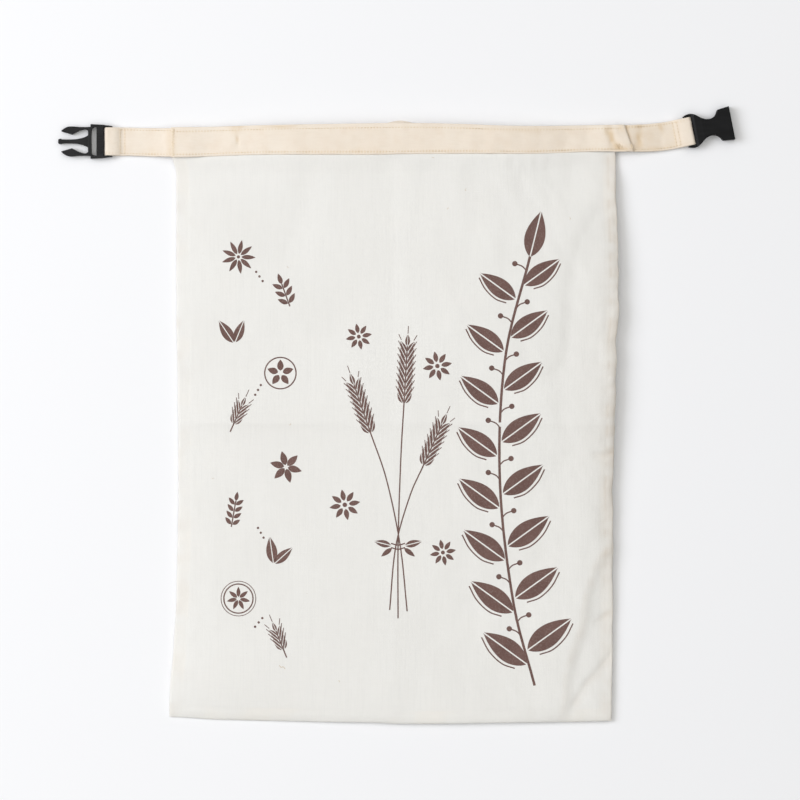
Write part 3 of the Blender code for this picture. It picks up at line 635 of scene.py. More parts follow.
def seam_strip(left, right, bottom):
    """1 over the doubled cloth inside the seams, 0 in the open cloth."""
    shares = [ease((SEAM_ALLOWANCE - d) / SEAM_FADE) for d in (left, right, bottom)]
    return np.maximum(np.maximum(shares[0], shares[1]), shares[2])


def seam_middle(x, y, right, bottom):
    """Height half way between the panels, which neither of them crosses."""
    middle = back_under(x, y) + CLOTH + gap(x, y) / 2
    return middle + right_roll(y, right) - bottom_sink(bottom)


def edge_wobble(y, left, right):
    """The side edges are not quite straight, the right one less so."""
    right_side = waves(RIGHT_WOBBLE, y) + waves(RIGHT_FINE_WOBBLE, y)
    right_side = right_side * (0.15 + 0.85 * ease((0.175 - y) / 0.03))
    return right_side * fading(right, WOBBLE_FADE) + waves(LEFT_WOBBLE, y) * fading(left, WOBBLE_FADE)


def make_front_cloth(material):
    columns = grid_lines(LEFT, RIGHT, LEFT_STEP, True, [(FINER_FROM, RIGHT_STEP)])
    rows = grid_lines(BOTTOM, TOP, CLOTH_STEP, False)
    x, y, left, right, bottom = panel_grid(columns, rows)
    clear_of_band = ease((band_low(x) - y) / BAND_FADE)
    x = x + edge_wobble(y, left, right)
    relief = folds(x, y) + waviness(x, y) + seam_puckers(x, y, left, right, bottom)
    strip = seam_strip(left, right, bottom)
    relief = (relief + SEAM_RISE * strip) * clear_of_band
    soil = seam_soil(y, left, right) + 0.5 * fold_soil(x, y)
    inside = ease(np.minimum(np.minimum(left, right), bottom) / RIM_FADE)
    z = front_top(x, y) + relief * (0.25 + 0.75 * inside) + right_roll(y, right)
    z = z - rim_round(left, right, bottom) - bottom_sink(bottom)
    middle = seam_middle(x, y, right, bottom) + SEAM_CLEAR
    upper = np.stack((x, y, np.maximum(z, middle + RIM_THIN)), axis=-1)
    lower = upper - CLOTH_SEEN * normals(upper)
    lower[..., 2] = np.maximum(lower[..., 2], middle)
    piece = joined_mesh(
        "front_cloth", [(upper, lower)], material, seam=strip * clear_of_band,
        pressed=pressed_line(x, y) * clear_of_band, soil=soil,
    )
    return place(piece, "cloth", "front_panel")


def make_back_cloth(material):
    columns = grid_lines(LEFT, RIGHT, BACK_STEP, True)
    rows = grid_lines(BOTTOM, TOP, BACK_STEP, False)
    x, y, left, right, bottom = panel_grid(columns, rows)
    x = x + edge_wobble(y, left, right)
    off_table = ease(table_lift(x, y) / CALM_LIFT)
    uneven = waves(BACK_WAVES, x, y) * off_table
    z = np.maximum(back_under(x, y) + uneven + right_roll(y, right), 0.0)
    z = np.maximum(z + rim_round(left, right, bottom) - bottom_sink(bottom), 0.0)
    middle = seam_middle(x, y, right, bottom) - SEAM_CLEAR
    lower = np.stack((x, y, np.minimum(z, middle - RIM_THIN)), axis=-1)
    upper = lower + CLOTH_SEEN * normals(lower)
    upper[..., 2] = np.minimum(upper[..., 2], middle)
    strip = seam_strip(left, right, bottom)
    # Soil with painted shade along the back's right edge, where it turns down
    soil = bell(right / BACK_SOIL_AND_SHADE)
    piece = joined_mesh(
        "back_cloth", [(upper, lower)], material, seam=strip, pressed=np.zeros(x.shape), soil=soil,
    )
    return place(piece, "cloth", "back_panel")


# Ribbons of tape: a middle line with, at each point of it, the way to one edge and the way out
# of the tape's face


Ribbon = namedtuple("Ribbon", "middle across out along")


def make_ribbon(middle, across):
    tangent = np.gradient(middle, axis=0)
    out = np.cross(across, tangent)
    out /= np.linalg.norm(out, axis=1, keepdims=True)
    runs = np.linalg.norm(np.diff(middle, axis=0), axis=1)
    return Ribbon(middle, across, out, np.concatenate([[0.0], np.cumsum(runs)]))


def on_ribbon(ribbon, along, share, lift):
    """Points on a ribbon, and the way out there: along it, at a share of the half width, and
    that far out of its middle."""
    def at(values):
        columns = [np.interp(along, ribbon.along, values[:, axis]) for axis in range(3)]
        return np.stack(columns, axis=-1)

    out = at(ribbon.out)
    share, lift = np.asarray(share)[..., None], np.asarray(lift)[..., None]
    return at(ribbon.middle) + share * at(ribbon.across) + lift * out, out


RIBBON_EDGE = 0.08  # the rounded part of the half width
RIBBON_END = 0.0012  # how far from its ends a tape thins out
# Shares of a tape's thickness: what its edges keep, what its ends lose, what the relief leaves
EDGE_THICKNESS = 0.2
END_LOSS = 0.6
LEAST_THICKNESS = 0.15
SEWN = 0.8  # what a row of stitches counts for on its line, fading to both sides over the reach
ROW_REACH = 0.08  # of a row along the tape, as a share of the half width
END_REACH = 0.001  # of one across it
SEWN_DEPTH = 0.00015
FAINTER_ROW = 0.4  # how much of its colour the row at a negative share shows
RIBBON_SHARES = np.array(
    [0.0, 0.15, 0.3, 0.45, 0.6, 0.68, 0.75, 0.8, 0.85, 0.9, 0.94, 0.96, 0.98, 0.993, 1.0]
)


# A crease across a tape: its place along it at the middle, how that changes to an edge, its
# height, how wide it is before and after its line, and the middle and half span of its length
Crease = namedtuple("Crease", "place slant height before after middle span")


# A darker brown mark on a tape, mostly a stain, in a few places painted shade in a crease and painted
# shadow beside the band's cut end: its place, its size along the tape and as a share of the half width,
# and how strong it is
Spot = namedtuple("Spot", "along share length width strength")


def ribbon_piece(name, ribbon, rows, start, ends, creases, spots, material):
    """A tape as a closed sheet with rounded edges. Its rows of stitches, which begin at the
    start, and its ends are drawn in, and its outer face stands out by the relief."""
    shares = np.concatenate([-RIBBON_SHARES[:0:-1], RIBBON_SHARES])
    along, share = np.meshgrid(ribbon.along, shares, indexing="ij")
    t = np.clip((np.abs(share) - 1 + RIBBON_EDGE) / RIBBON_EDGE, 0.0, 1.0)
    to_end = np.minimum(along, ribbon.along[-1] - along)
    at_end = np.clip(1 - to_end / RIBBON_END, 0.0, 1.0)
    thick = TAPE_SEEN * np.maximum(np.sqrt(1 - t * t), EDGE_THICKNESS) * (1 - END_LOSS * at_end * at_end)
    relief = sewn_relief(along, share, rows, ends, creases)
    thick = thick * np.maximum(1 + relief / TAPE_SEEN, LEAST_THICKNESS)
    upper, _ = on_ribbon(ribbon, along, share, thick - TAPE_SEEN / 2)
    lower, _ = on_ribbon(ribbon, along, share, -TAPE_SEEN / 2)
    half_width = np.linalg.norm(ribbon.across, axis=1)
    across = share * np.interp(along, ribbon.along, half_width)
    stain = 0.0 * along
    for spot in spots:
        off = ((along - spot.along) / spot.length) ** 2 + ((share - spot.share) / spot.width) ** 2
        stain = stain + spot.strength * np.exp(-off)
    return joined_mesh(
        name, [(upper, lower)], material, along=along, across=across, stain=stain,
        beat=(along - start) / STITCH_PITCH,
        rows=sewn_share(along, share, rows, ()) * np.where(share > 0, 1.0, FAINTER_ROW),
        ends=sewn_share(along, share, (), ends),
    )


def sewn_share(along, share, rows, ends):
    """1 on the rows of stitches along a tape and across its ends, 0 away from them."""
    total = 0.0 * along
    for row in rows:
        total = total + SEWN * bell((share - row) / ROW_REACH)
    for end in ends:
        total = total + SEWN * bell((along - end) / END_REACH)
    return np.clip(total, 0.0, 1.0)


def sewn_relief(along, share, rows, ends, creases):
    """Relief of a sewn tape: drawn in at the stitches, gently uneven, with its creases."""
    beat = 0.6 + 0.4 * np.cos(2 * pi * along / STITCH_PITCH)
    uneven = waves(TAPE_WAVES, along, share * 0.006)
    if creases:  # the hidden back tape has none and stays calm, clear of the cloth over it
        uneven = uneven * (1 + 1.1 * ease((along - 0.17) / 0.06))
    uneven = uneven + waves(TAPE_FINE_WAVES, along, share * 0.009)
    total = uneven - SEWN_DEPTH * beat * sewn_share(along, share, rows, ends)
    for crease in creases:
        place = crease.place + crease.slant * share
        reach = np.where(along < place, crease.before, crease.after)
        fade = 1 - ease((np.abs(share - crease.middle) - crease.span) / 0.25 + 1)
        total = total + crease.height * fade * bell((along - place) / reach)
    return total


def band_line(right_low, right_high, peep, height):
    """Middle and half width of a band; its right end is cut on the slant."""
    x = stations(BAND_LEFT, right_low, BAND_MESH_STEP)
    slant = ease((x - RIGHT_STRAP_END) / (right_low - RIGHT_STRAP_END))
    high_x = x + slant * (right_high - right_low)
    raised = peep * ease(1 - np.abs(x - PEEP_X) / PEEP_REACH)
    low = np.stack((x, band_low(x), height(x)), axis=-1)
    high = np.stack((high_x, band_high(x) + raised, height(x)), axis=-1)
    return make_ribbon((low + high) / 2, (low - high) / 2)


BAND_CREASES = [
    Crease(0.0478, 0.0003, -0.00055, 0.0011, 0.0018, 0.05, 0.5),
    Crease(0.133, 0.001, -0.00014, 0.003, 0.005, 0.3, 0.7),
    Crease(0.214, -0.0012, 0.00016, 0.005, 0.004, 0.0, 0.8),
    Crease(0.3146, 0.0034, -0.0007, 0.0022, 0.003, 0.1, 0.95),
    Crease(0.3206, 0.0034, 0.0004, 0.0026, 0.003, 0.1, 0.95),
]
BAND_SPOTS = [
    Spot(0.001, 0.0, 0.0024, 1.2, 0.6),
    # Stain with painted shade in the pinched crease
    Spot(0.0474, -0.1, 0.0011, 0.22, 1.4),
    Spot(0.0464, -0.72, 0.0034, 0.22, 0.8),
    Spot(0.046, -0.92, 0.006, 0.09, 1.2),
    Spot(0.078, -0.86, 0.014, 0.08, 0.9),
    Spot(0.131, 0.7, 0.012, 0.25, 0.3),
    Spot(0.25, -0.7, 0.02, 0.25, 0.35),
    # The next three lie in the trough of the crease near the right end: stain with painted shade
    Spot(0.3126, -0.6, 0.0026, 0.45, 1.3),
    Spot(0.3152, 0.1, 0.0018, 0.6, 1.3),
    Spot(0.318, 0.62, 0.0022, 0.4, 1.2),
    Spot(0.324, 0.76, 0.007, 0.24, 1.0),
    Spot(0.3236, -0.8, 0.0036, 0.25, 0.9),
    # Painted shadow along the band's cut end
    Spot(0.33, -0.2, 0.001, 1.1, 1.2),
]


def make_bands(material, thread):
    def front_height(x):
        return mouth_height(x) + BAND_LIE + over_strap(x) + TAPE_SEEN / 2

    def back_height(x):
        return table_lift(x, band_low(x)) + TAPE / 2

    front = band_line(BAND_RIGHT_LOW, BAND_RIGHT_HIGH, 0.0, front_height)
    half = np.linalg.norm(front.across, axis=1).mean()
    rows = (1 - BAND_LOWER_ROW / half, -1 + BAND_UPPER_ROW / half)
    piece = ribbon_piece("front_tape", front, rows, ROW_START, (), BAND_CREASES, BAND_SPOTS, material)
    place(piece, "tape", "front_band")
    back = band_line(BACK_BAND_RIGHT, BACK_BAND_RIGHT, BACK_BAND_PEEP, back_height)
    under = ribbon_piece("back_tape", back, rows, ROW_START, (), (), (), material)
    place(under, "tape", "back_band")
    runs = [straight_run(row, ROW_START, front.along[-1] - ROW_START) for row in rows]
    runs += [zigzag_across(*END_ZIGZAG), zigzag_along(*LONG_ZIGZAG)]
    sewing = stitch_piece("band_sewing", front, runs, thread)
    place(sewing, "tape")
    return piece, under, sewing


def strap_line(bar, heading, rows, inner_end, inner_y):
    """The tape's middle line from the tail's end, under and round the bar, and over it to the
    bag, with the tape's turn in plan at each point."""
    back_x, back_y = -cos(heading), -sin(heading)
    loop_low, loop_high = bar.z - LOOP_RADIUS, bar.z + LOOP_RADIUS
    tail_end = max(TAPE / 2, loop_low - TAIL_DROP)
    sewn = tail_end + TAPE + CLEAR
    line = []

    def add(distance, z):
        line.append((bar.x + back_x * distance, bar.y + back_y * distance, z, heading))

    for distance in stations(STRAP_TAIL, STRAP_STEP, STRAP_STEP):
        add(distance, tail_end + (loop_low - tail_end) * float(ease(1 - distance / STRAP_TAIL)))
    for i in range(LOOP_STEPS + 1):
        turn = pi * i / LOOP_STEPS
        add(-LOOP_RADIUS * sin(turn), bar.z - LOOP_RADIUS * cos(turn))
    share = through(OVER_LAYER)
    for distance in stations(0.0, OVER_LAYER[-1][0], STRAP_STEP)[1:]:
        add(distance, loop_high + float(share(distance)) * (sewn - loop_high))
    toward_bag = 1 if inner_end > bar.x else -1
    edge = float(left_edge(inner_y) if toward_bag > 0 else right_edge(inner_y))
    knots = [line[-1][:3], *rows]
    for x in (edge, inner_end):
        knots.append((x, inner_y, float(mouth_height(x)) + STRAP_LIE + TAPE / 2))
    knots.sort()
    y_at = through([(x, y) for x, y, _ in knots])
    z_at = through([(x, z) for x, _, z in knots])
    for x in stations(line[-1][0], inner_end, STRAP_STEP)[1:]:
        turn = (y_at(x + TURN_STEP) - y_at(x - TURN_STEP)) / (2 * TURN_STEP)
        line.append((x, y_at(x), z_at(x), turn if toward_bag < 0 else pi + turn))
    return np.array(line, float)


def strap_ribbon(line, inner_width):
    inner_x, bar_x = line[-1, 0], line[0, 0]
    drawn_in = ease(1 - np.abs(line[:, 0] - inner_x) / abs(bar_x - inner_x))
    half = (STRAP_WIDTH + drawn_in * (inner_width - STRAP_WIDTH)) / 2
    turn = line[:, 3]
    across = np.stack((-np.sin(turn), np.cos(turn), np.zeros(len(turn))), axis=-1)
    return make_ribbon(line[:, :3], across * half[:, None])


# A strap: the buckle's bar and its heading, the strap's end in the bag and its width there, points
# of its middle line between them, how far past the bar it is sewn, and its creases and darker marks
# (stains, on the right one also painted shade and shadow), measured from its end in the bag
Strap = namedtuple("Strap", "name node bar heading end end_y end_width points sewn creases spots")
STRAPS = [
    Strap(
        "left_strap", "strap_left", Vector((-0.2066, 0.1956, 0.0025)), radians(180.0),
        LEFT_STRAP_END, 0.1948, 0.0205,
        [(-0.186, 0.1954, 0.0017), (-0.176, 0.1951, 0.0022), (-0.168, 0.1949, 0.0033)], 0.0102,
        [Crease(0.018, 0.001, -0.00012, 0.003, 0.004, 0.0, 0.9)],
        [Spot(0.0126, 0.0, 0.0022, 1.2, 0.7), Spot(0.025, 0.6, 0.006, 0.4, 0.25)],
    ),
    Strap(
        "right_strap", "strap_right", Vector((0.2096, 0.2028, 0.0037)), radians(11.2),
        RIGHT_STRAP_END, 0.1977, 0.0187,
        [(0.188, 0.1989, 0.0024), (0.18, 0.1982, 0.0031), (0.172, 0.1979, 0.0042)], 0.0094,
        [
            Crease(0.0226, -0.0014, -0.00055, 0.0022, 0.0036, 0.1, 0.9),
            Crease(0.03, -0.001, 0.00016, 0.004, 0.004, 0.0, 0.9),
            Crease(0.0384, -0.001, -0.00036, 0.003, 0.0036, -0.3, 0.8),
        ],
        [
            # Painted shadow of the band's cut end on the strap, here and in the next
            Spot(0.0134, 0.72, 0.0012, 0.34, 1.4),
            Spot(0.0152, 0.05, 0.001, 0.5, 1.0),
            # Stain with painted shade along the crease here
            Spot(0.0226, 0.2, 0.0022, 0.7, 1.3),
            Spot(0.026, 0.0, 0.02, 1.6, 0.45),
            Spot(0.039, 0.62, 0.002, 0.26, 1.1),
            Spot(0.03, -0.8, 0.03, 0.24, 0.4),
        ],
    ),
]


def make_strap(strap, material, thread):
    line = strap_line(strap.bar, strap.heading, strap.points, strap.end, strap.end_y)
    ribbon = strap_ribbon(line, strap.end_width)
    over_bar = STRAP_TAIL - STRAP_STEP + pi * LOOP_RADIUS  # where the upper layer starts
    sewn_at = over_bar + strap.sewn
    row = 1 - STRAP_ROW / (STRAP_WIDTH / 2)
    length = ribbon.along[-1]
    creases = [crease._replace(place=length - crease.place) for crease in strap.creases]
    spots = [spot._replace(along=length - spot.along) for spot in strap.spots]
    ends = (sewn_at, sewn_at + STRAP_CROSS)
    piece = ribbon_piece(strap.name, ribbon, (row, -row), sewn_at, ends, creases, spots, material)
    place(piece, "tape", strap.node)
    runs = [straight_run(side * row, sewn_at, length - STRAP_ROW_END) for side in (1, -1)]
    runs += [cross_run(end, CROSS_REACH) for end in ends]
    sewing = stitch_piece(strap.name + "_sewing", ribbon, runs, thread)
    place(sewing, "tape")
    return piece, sewing


# Sewing: each stitch is a short thread that dives into the cloth at both ends


Run = namedtuple("Run", "along share")  # ends of the stitches, one after another


def straight_run(share, start, end):
    along = np.arange(start, end, STITCH_PITCH)
    return Run(along, np.full(along.shape, share))


def zigzag_across(along, width, reach):
    share = np.linspace(-reach, reach, ZIGZAG_POINTS)
    side = np.where(np.arange(ZIGZAG_POINTS) % 2 == 0, -width / 2, width / 2)
    return Run(along + side, share)


def zigzag_along(start, end, low, high):
    along = stations(start, end, STITCH_PITCH / 2)
    return Run(along, np.where(np.arange(len(along)) % 2 == 0, low, high))


def cross_run(along, reach):
    share = np.linspace(-reach, reach, CROSS_POINTS)
    return Run(np.full(share.shape, along), share)


# Rings of a stitch: their place along it, and their radius and height in thread radii
STITCH_RINGS = [
    (0.0, 0.35, -1.2), (0.07, 0.8, -0.5), (0.2, 1.0, 0.15), (0.5, 1.05, 0.45),
    (0.8, 1.0, 0.15), (0.93, 0.8, -0.5), (1.0, 0.35, -1.2),
]
STITCH_SIDES = 6


def stitch_piece(name, ribbon, runs, material):
    starts, ends, outs = [], [], []
    for run in runs:
        points, out = on_ribbon(ribbon, run.along, run.share, TAPE_SEEN / 2)
        way = points[1:] - points[:-1]
        length = np.linalg.norm(way, axis=1, keepdims=True)
        trim = way / length * (STITCH_GAP / 2)
        starts.append(points[:-1] + trim)
        ends.append(points[1:] - trim)
        outs.append(out[:-1])
    starts, ends, outs = (np.concatenate(group) for group in (starts, ends, outs))
    way = ends - starts
    side = np.cross(way, outs)
    side /= np.linalg.norm(side, axis=1, keepdims=True)
    angles = 2 * pi * np.arange(STITCH_SIDES) / STITCH_SIDES
    rings = []
    round_x, round_y = np.cos(angles)[None, :, None], np.sin(angles)[None, :, None]
    for share, radius, height in STITCH_RINGS:
        centre = starts + way * share + outs * (height * THREAD_RADIUS)
        spread = round_x * side[:, None] + round_y * outs[:, None]
        rings.append(centre[:, None] + radius * THREAD_RADIUS * spread)
    points = np.stack(rings, axis=1)
    count = len(STITCH_RINGS) * STITCH_SIDES
    index = np.arange(count).reshape(len(STITCH_RINGS), STITCH_SIDES)
    ahead = np.roll(index, -1, axis=1)
    walls = np.stack((index[:-1], index[1:], ahead[1:], ahead[:-1]), axis=-1).reshape(-1, 4)
    faces = []
    for stitch in range(len(starts)):
        faces += (walls + stitch * count).tolist()
        faces.append((index[0] + stitch * count).tolist())
        faces.append((index[-1, ::-1] + stitch * count).tolist())
    piece = add_mesh(name, points.reshape(-1, 3).tolist(), faces, material)
    piece.data.shade_smooth()
    return piece


# The print: flat strips of ink laid on the cloth. A strip is a grid of points in the plane.


def strip(left, right):
    """Ink between two lines, the second one on the right of the way they run."""
    width = np.linalg.norm(right - left, axis=1).max()
    share = np.linspace(0.0, 1.0, ceil(width / INK_STEP) + 1)
    return left[:, None] + share[None, :, None] * (right - left)[:, None]


def leaf(length, width, slit=0.0):
    """A pointed leaf from the origin along +Y, in two halves beside its rib."""
    t = np.linspace(0.0, 1.0, ceil(length / INK_STEP) * 2 + 1)
    half = width / 2 * np.sin(pi * t**LEAF_BLUNT) ** LEAF_ROUND
    half = np.maximum(half, slit / 2 + INK_SLIVER)
    y = t * length
    if not slit:
        return [strip(np.stack((-half, y), -1), np.stack((half, y), -1))]
    rib = np.full(t.shape, slit / 2)
    return [
        strip(np.stack((-half, y), -1), np.stack((-rib, y), -1)),
        strip(np.stack((rib, y), -1), np.stack((half, y), -1)),
    ]


def ring(radius, width):
    turn = np.linspace(0.0, 2 * pi, max(ceil(2 * pi * radius / RING_STEP), 12) + 1)
    way = np.stack((np.cos(turn), np.sin(turn)), axis=-1)
    return [strip((radius - width / 2) * way, (radius + width / 2) * way)]


def disc(radius):
    return ring(radius / 2 + INK_SLIVER, radius)


def stroke(points, width):
    """A line of even width through points."""
    line = smooth_path(points, STROKE_STEPS)
    way = np.gradient(line, axis=0)
    way /= np.linalg.norm(way, axis=1, keepdims=True)
    aside = np.stack((way[:, 1], -way[:, 0]), axis=-1) * (width / 2)
    return [strip(line - aside, line + aside)]


def moved(strips, x=0.0, y=0.0, turn=0.0):
    """The strips turned about the origin, then moved."""
    spin = np.array([[cos(turn), sin(turn)], [-sin(turn), cos(turn)]])
    return [grid @ spin + (x, y) for grid in strips]


def rosette(count, inner, length, width):
    strips = []
    for i in range(count):
        turn = 2 * pi * i / count
        strips += moved(moved(leaf(length, width), y=inner), turn=turn)
    return strips


def sprig(height, leaves, length, width):
    """A short stem with leaves in pairs and one at its tip."""
    strips = stroke([(0.0, 0.0), (0.0, height)], INK_LINE)
    for i in range(leaves):
        y = height * (i + 0.6) / leaves
        for side in (-1, 1):
            strips += moved(leaf(length, width), side * 0.0006, y - 0.001, -side * SPRIG_TURN)
    return strips + moved(leaf(length, width), y=height)


def dots(count, pitch, radius):
    strips = []
    for i in range(count):
        strips += moved(disc(radius), y=(i - (count - 1) / 2) * pitch)
    return strips


def ear(pairs, pitch, length, width):
    """An ear of wheat from the origin along +Y: grains in pairs, one at its tip, and awns."""
    strips = stroke([(0.0, 0.0), (0.0, pitch * pairs)], INK_LINE)
    for i in range(pairs):
        y = pitch * (i + 0.15)
        for side in (-1, 1):
            turn = -side * GRAIN_TURN
            strips += moved(leaf(length, width, SMALL_SLIT), side * 0.0009, y, turn)
            awn = [(0.0, length + 0.0006), (side * 0.0003, length + 0.005)]
            strips += moved(stroke(awn, FINE_LINE), side * 0.0009, y, turn * 0.8)
    strips += moved(leaf(length, width, SMALL_SLIT), y=pitch * pairs)
    tip = pitch * pairs + length
    return strips + stroke([(0.0, tip + 0.0006), (0.0, tip + 0.006)], FINE_LINE)


def branch_print():
    """The bold branch on the right: a stem, solid leaves with a slit and a line below each."""
    stem = [(0.0985, -0.193), (0.0835, -0.135), (0.0735, -0.045), (0.0775, 0.042), (0.095, 0.113)]
    strips = stroke(stem, 0.0018)
    line = smooth_path(stem, STROKE_STEPS)
    line = line[np.argsort(line[:, 1])]

    def stem_x(y):
        return float(np.interp(y, line[:, 1], line[:, 0]))

    for i in range(8):
        y = -0.179 + i * 0.0372
        size = 1.04 - 0.028 * i
        for side in (-1, 1):
            base_y = y + (0.01 if side > 0 else 0.0)
            x = stem_x(base_y)
            turn = -side * BOLD_TURN
            shape = leaf(0.0365 * size, 0.0155 * size, BOLD_SLIT)
            strips += moved(moved(shape, y=0.0024), x, base_y, turn)
            echo = [(0.0072, 0.007), (0.0098, 0.016), (0.0082, 0.028), (0.0034, 0.038)]
            echo = [(side * aside * size, along * size) for aside, along in echo]
            strips += moved(stroke(echo, INK_LINE), x, base_y, turn)
            bud_y = base_y + 0.0215
            if bud_y < stem[-1][1] - 0.004:
                twig = [(0.0, 0.0), (side * 0.0028, 0.003), (side * 0.0068, 0.0046)]
                strips += moved(stroke(twig, INK_LINE), stem_x(bud_y), bud_y)
                strips += moved(disc(0.0019), stem_x(bud_y) + side * 0.0082, bud_y + 0.005)
    return strips + moved(leaf(0.033, 0.0145, BOLD_SLIT), *stem[-1], radians(-14))


def middle_print():
    """Three stalks of wheat tied together, and a few small flowers round them."""
    strips = []
    stalks = [
        [(0.0075, -0.14), (0.0025, -0.093), (-0.0075, -0.045), (-0.0185, -0.013)],
        [(0.001, -0.145), (0.001, -0.093), (0.003, -0.03), (0.0052, 0.008)],
        [(-0.005, -0.139), (-0.0005, -0.093), (0.01, -0.056), (0.019, -0.036)],
    ]
    for stalk, pairs in zip(stalks, (8, 9, 7)):
        strips += stroke(stalk, INK_LINE)
        way_x, way_y = stalk[-1][0] - stalk[-2][0], stalk[-1][1] - stalk[-2][1]
        strips += moved(ear(pairs, 0.0046, 0.0082, 0.0034), *stalk[-1], -atan2(way_x, way_y))
    for y in (-0.0945, -0.0915):
        strips += stroke([(-0.004, y), (0.001, y - 0.0012), (0.006, y)], INK_LINE)
    for side in (-1, 1):
        strips += moved(leaf(0.012, 0.005, LEAF_SLIT), 0.001 + side * 0.0052, -0.093, -side * radians(76))
        strips += moved(leaf(0.0095, 0.0034), 0.001 + side * 0.0045, -0.095, -side * radians(128))
    places = (
        (-0.037, -0.064, 1.0), (0.033, -0.098, 0.85), (-0.027, 0.056, 0.85),
        (0.029, 0.035, 0.95),
    )
    for x, y, size in places:
        flower = rosette(8, 0.003 * size, 0.008 * size, 0.0036 * size) + disc(0.0016 * size)
        strips += moved(flower, x, y, radians(11))
    return strips


def scatter_print():
    """Small motifs on the left, loose in two staggered lines."""
    two_leaves = moved(leaf(0.0185, 0.0078, LEAF_SLIT), -0.0006, -0.008, radians(26))
    two_leaves += moved(leaf(0.0165, 0.0068, LEAF_SLIT), 0.0006, -0.008, radians(-30))
    small_ear = moved(ear(4, 0.0036, 0.0066, 0.0028), y=-0.006)
    small_ear += stroke([(0.0, -0.012), (0.0, 0.0)], INK_LINE)
    ringed_flower = ring(0.0104, INK_LINE) + rosette(7, 0.0012, 0.0072, 0.0028)
    ringed_flower += ring(0.0124, FINE_LINE)
    motifs = [
        (-0.113, 0.113, -12, rosette(9, 0.0022, 0.01, 0.0032) + disc(0.0011)),
        (-0.08, 0.088, 20, moved(sprig(0.017, 3, 0.0078, 0.0034), y=-0.011)),
        (-0.117, 0.06, 8, two_leaves),
        (-0.083, 0.03, 0, ring(0.0112, INK_LINE) + rosette(5, 0.0018, 0.0078, 0.0046)),
        (-0.114, -0.001, -24, small_ear),
        (-0.079, -0.037, 15, rosette(6, 0.0014, 0.0102, 0.0048)),
        (-0.116, -0.068, -10, moved(sprig(0.019, 4, 0.0064, 0.0029), y=-0.012)),
        (-0.085, -0.098, -18, two_leaves),
        (-0.113, -0.131, 0, ringed_flower),
        (-0.083, -0.162, 22, small_ear),
    ]
    strips = []
    for x, y, turn, motif in motifs:
        strips += moved(motif, x, y, radians(turn))
    dotted = (
        (-0.098, 0.099, 35), (-0.099, 0.018, -30), (-0.097, -0.084, 30), (-0.0985, -0.148, -40),
    )
    for x, y, turn in dotted:
        strips += moved(dots(3, 0.004, 0.0008), x, y, radians(turn))
    return strips


def lint_strips():
    """A few loose fibres on the cloth."""
    strips = stroke([(-0.0838, -0.1786), (-0.0826, -0.18), (-0.081, -0.1797), (-0.0796, -0.1812)], 0.00035)
    spots = ((0.0259, 0.1836), (0.0366, 0.1472), (0.0495, 0.1607), (-0.0776, 0.1057),
             (-0.1312, -0.0449), (-0.0762, -0.0064), (0.1235, 0.1402), (-0.0412, -0.1902))
    for i, (x, y) in enumerate(spots):
        fibre = [(-0.0008, 0.0), (0.0, 0.0003 + 0.0002 * (i % 3)), (0.0009, -0.0002)]
        strips += moved(stroke(fibre, 0.00022), x, y, radians(47 * i))
    return strips


def make_print(name, strips, cloth, material):
    """The strips laid on the cloth's own faces, as thin closed layers of ink."""
    tree = BVHTree.FromObject(cloth, bpy.context.evaluated_depsgraph_get())
    high, down = cad_high.z + 0.01, Vector((0.0, 0.0, -1.0))
    layers = []
    for grid in strips:
        surface = np.array([
            tree.ray_cast(Vector((x, y, high)), down)[0].z for x, y in grid.reshape(-1, 2)
        ])
        points = np.concatenate([grid.reshape(-1, 2), surface[:, None]], axis=1)
        points = points.reshape(*grid.shape[:2], 3)
        upper = points + (0.0, 0.0, INK_LIFT)
        layers.append((upper, upper - (0.0, 0.0, INK_THICKNESS)))
    piece = joined_mesh(name, layers, material)
    return place(piece, "cloth")


# Materials


WEAVE_PITCH = 0.00066
TWILL_PITCH = 0.0011
RIB_PITCH = 0.0006


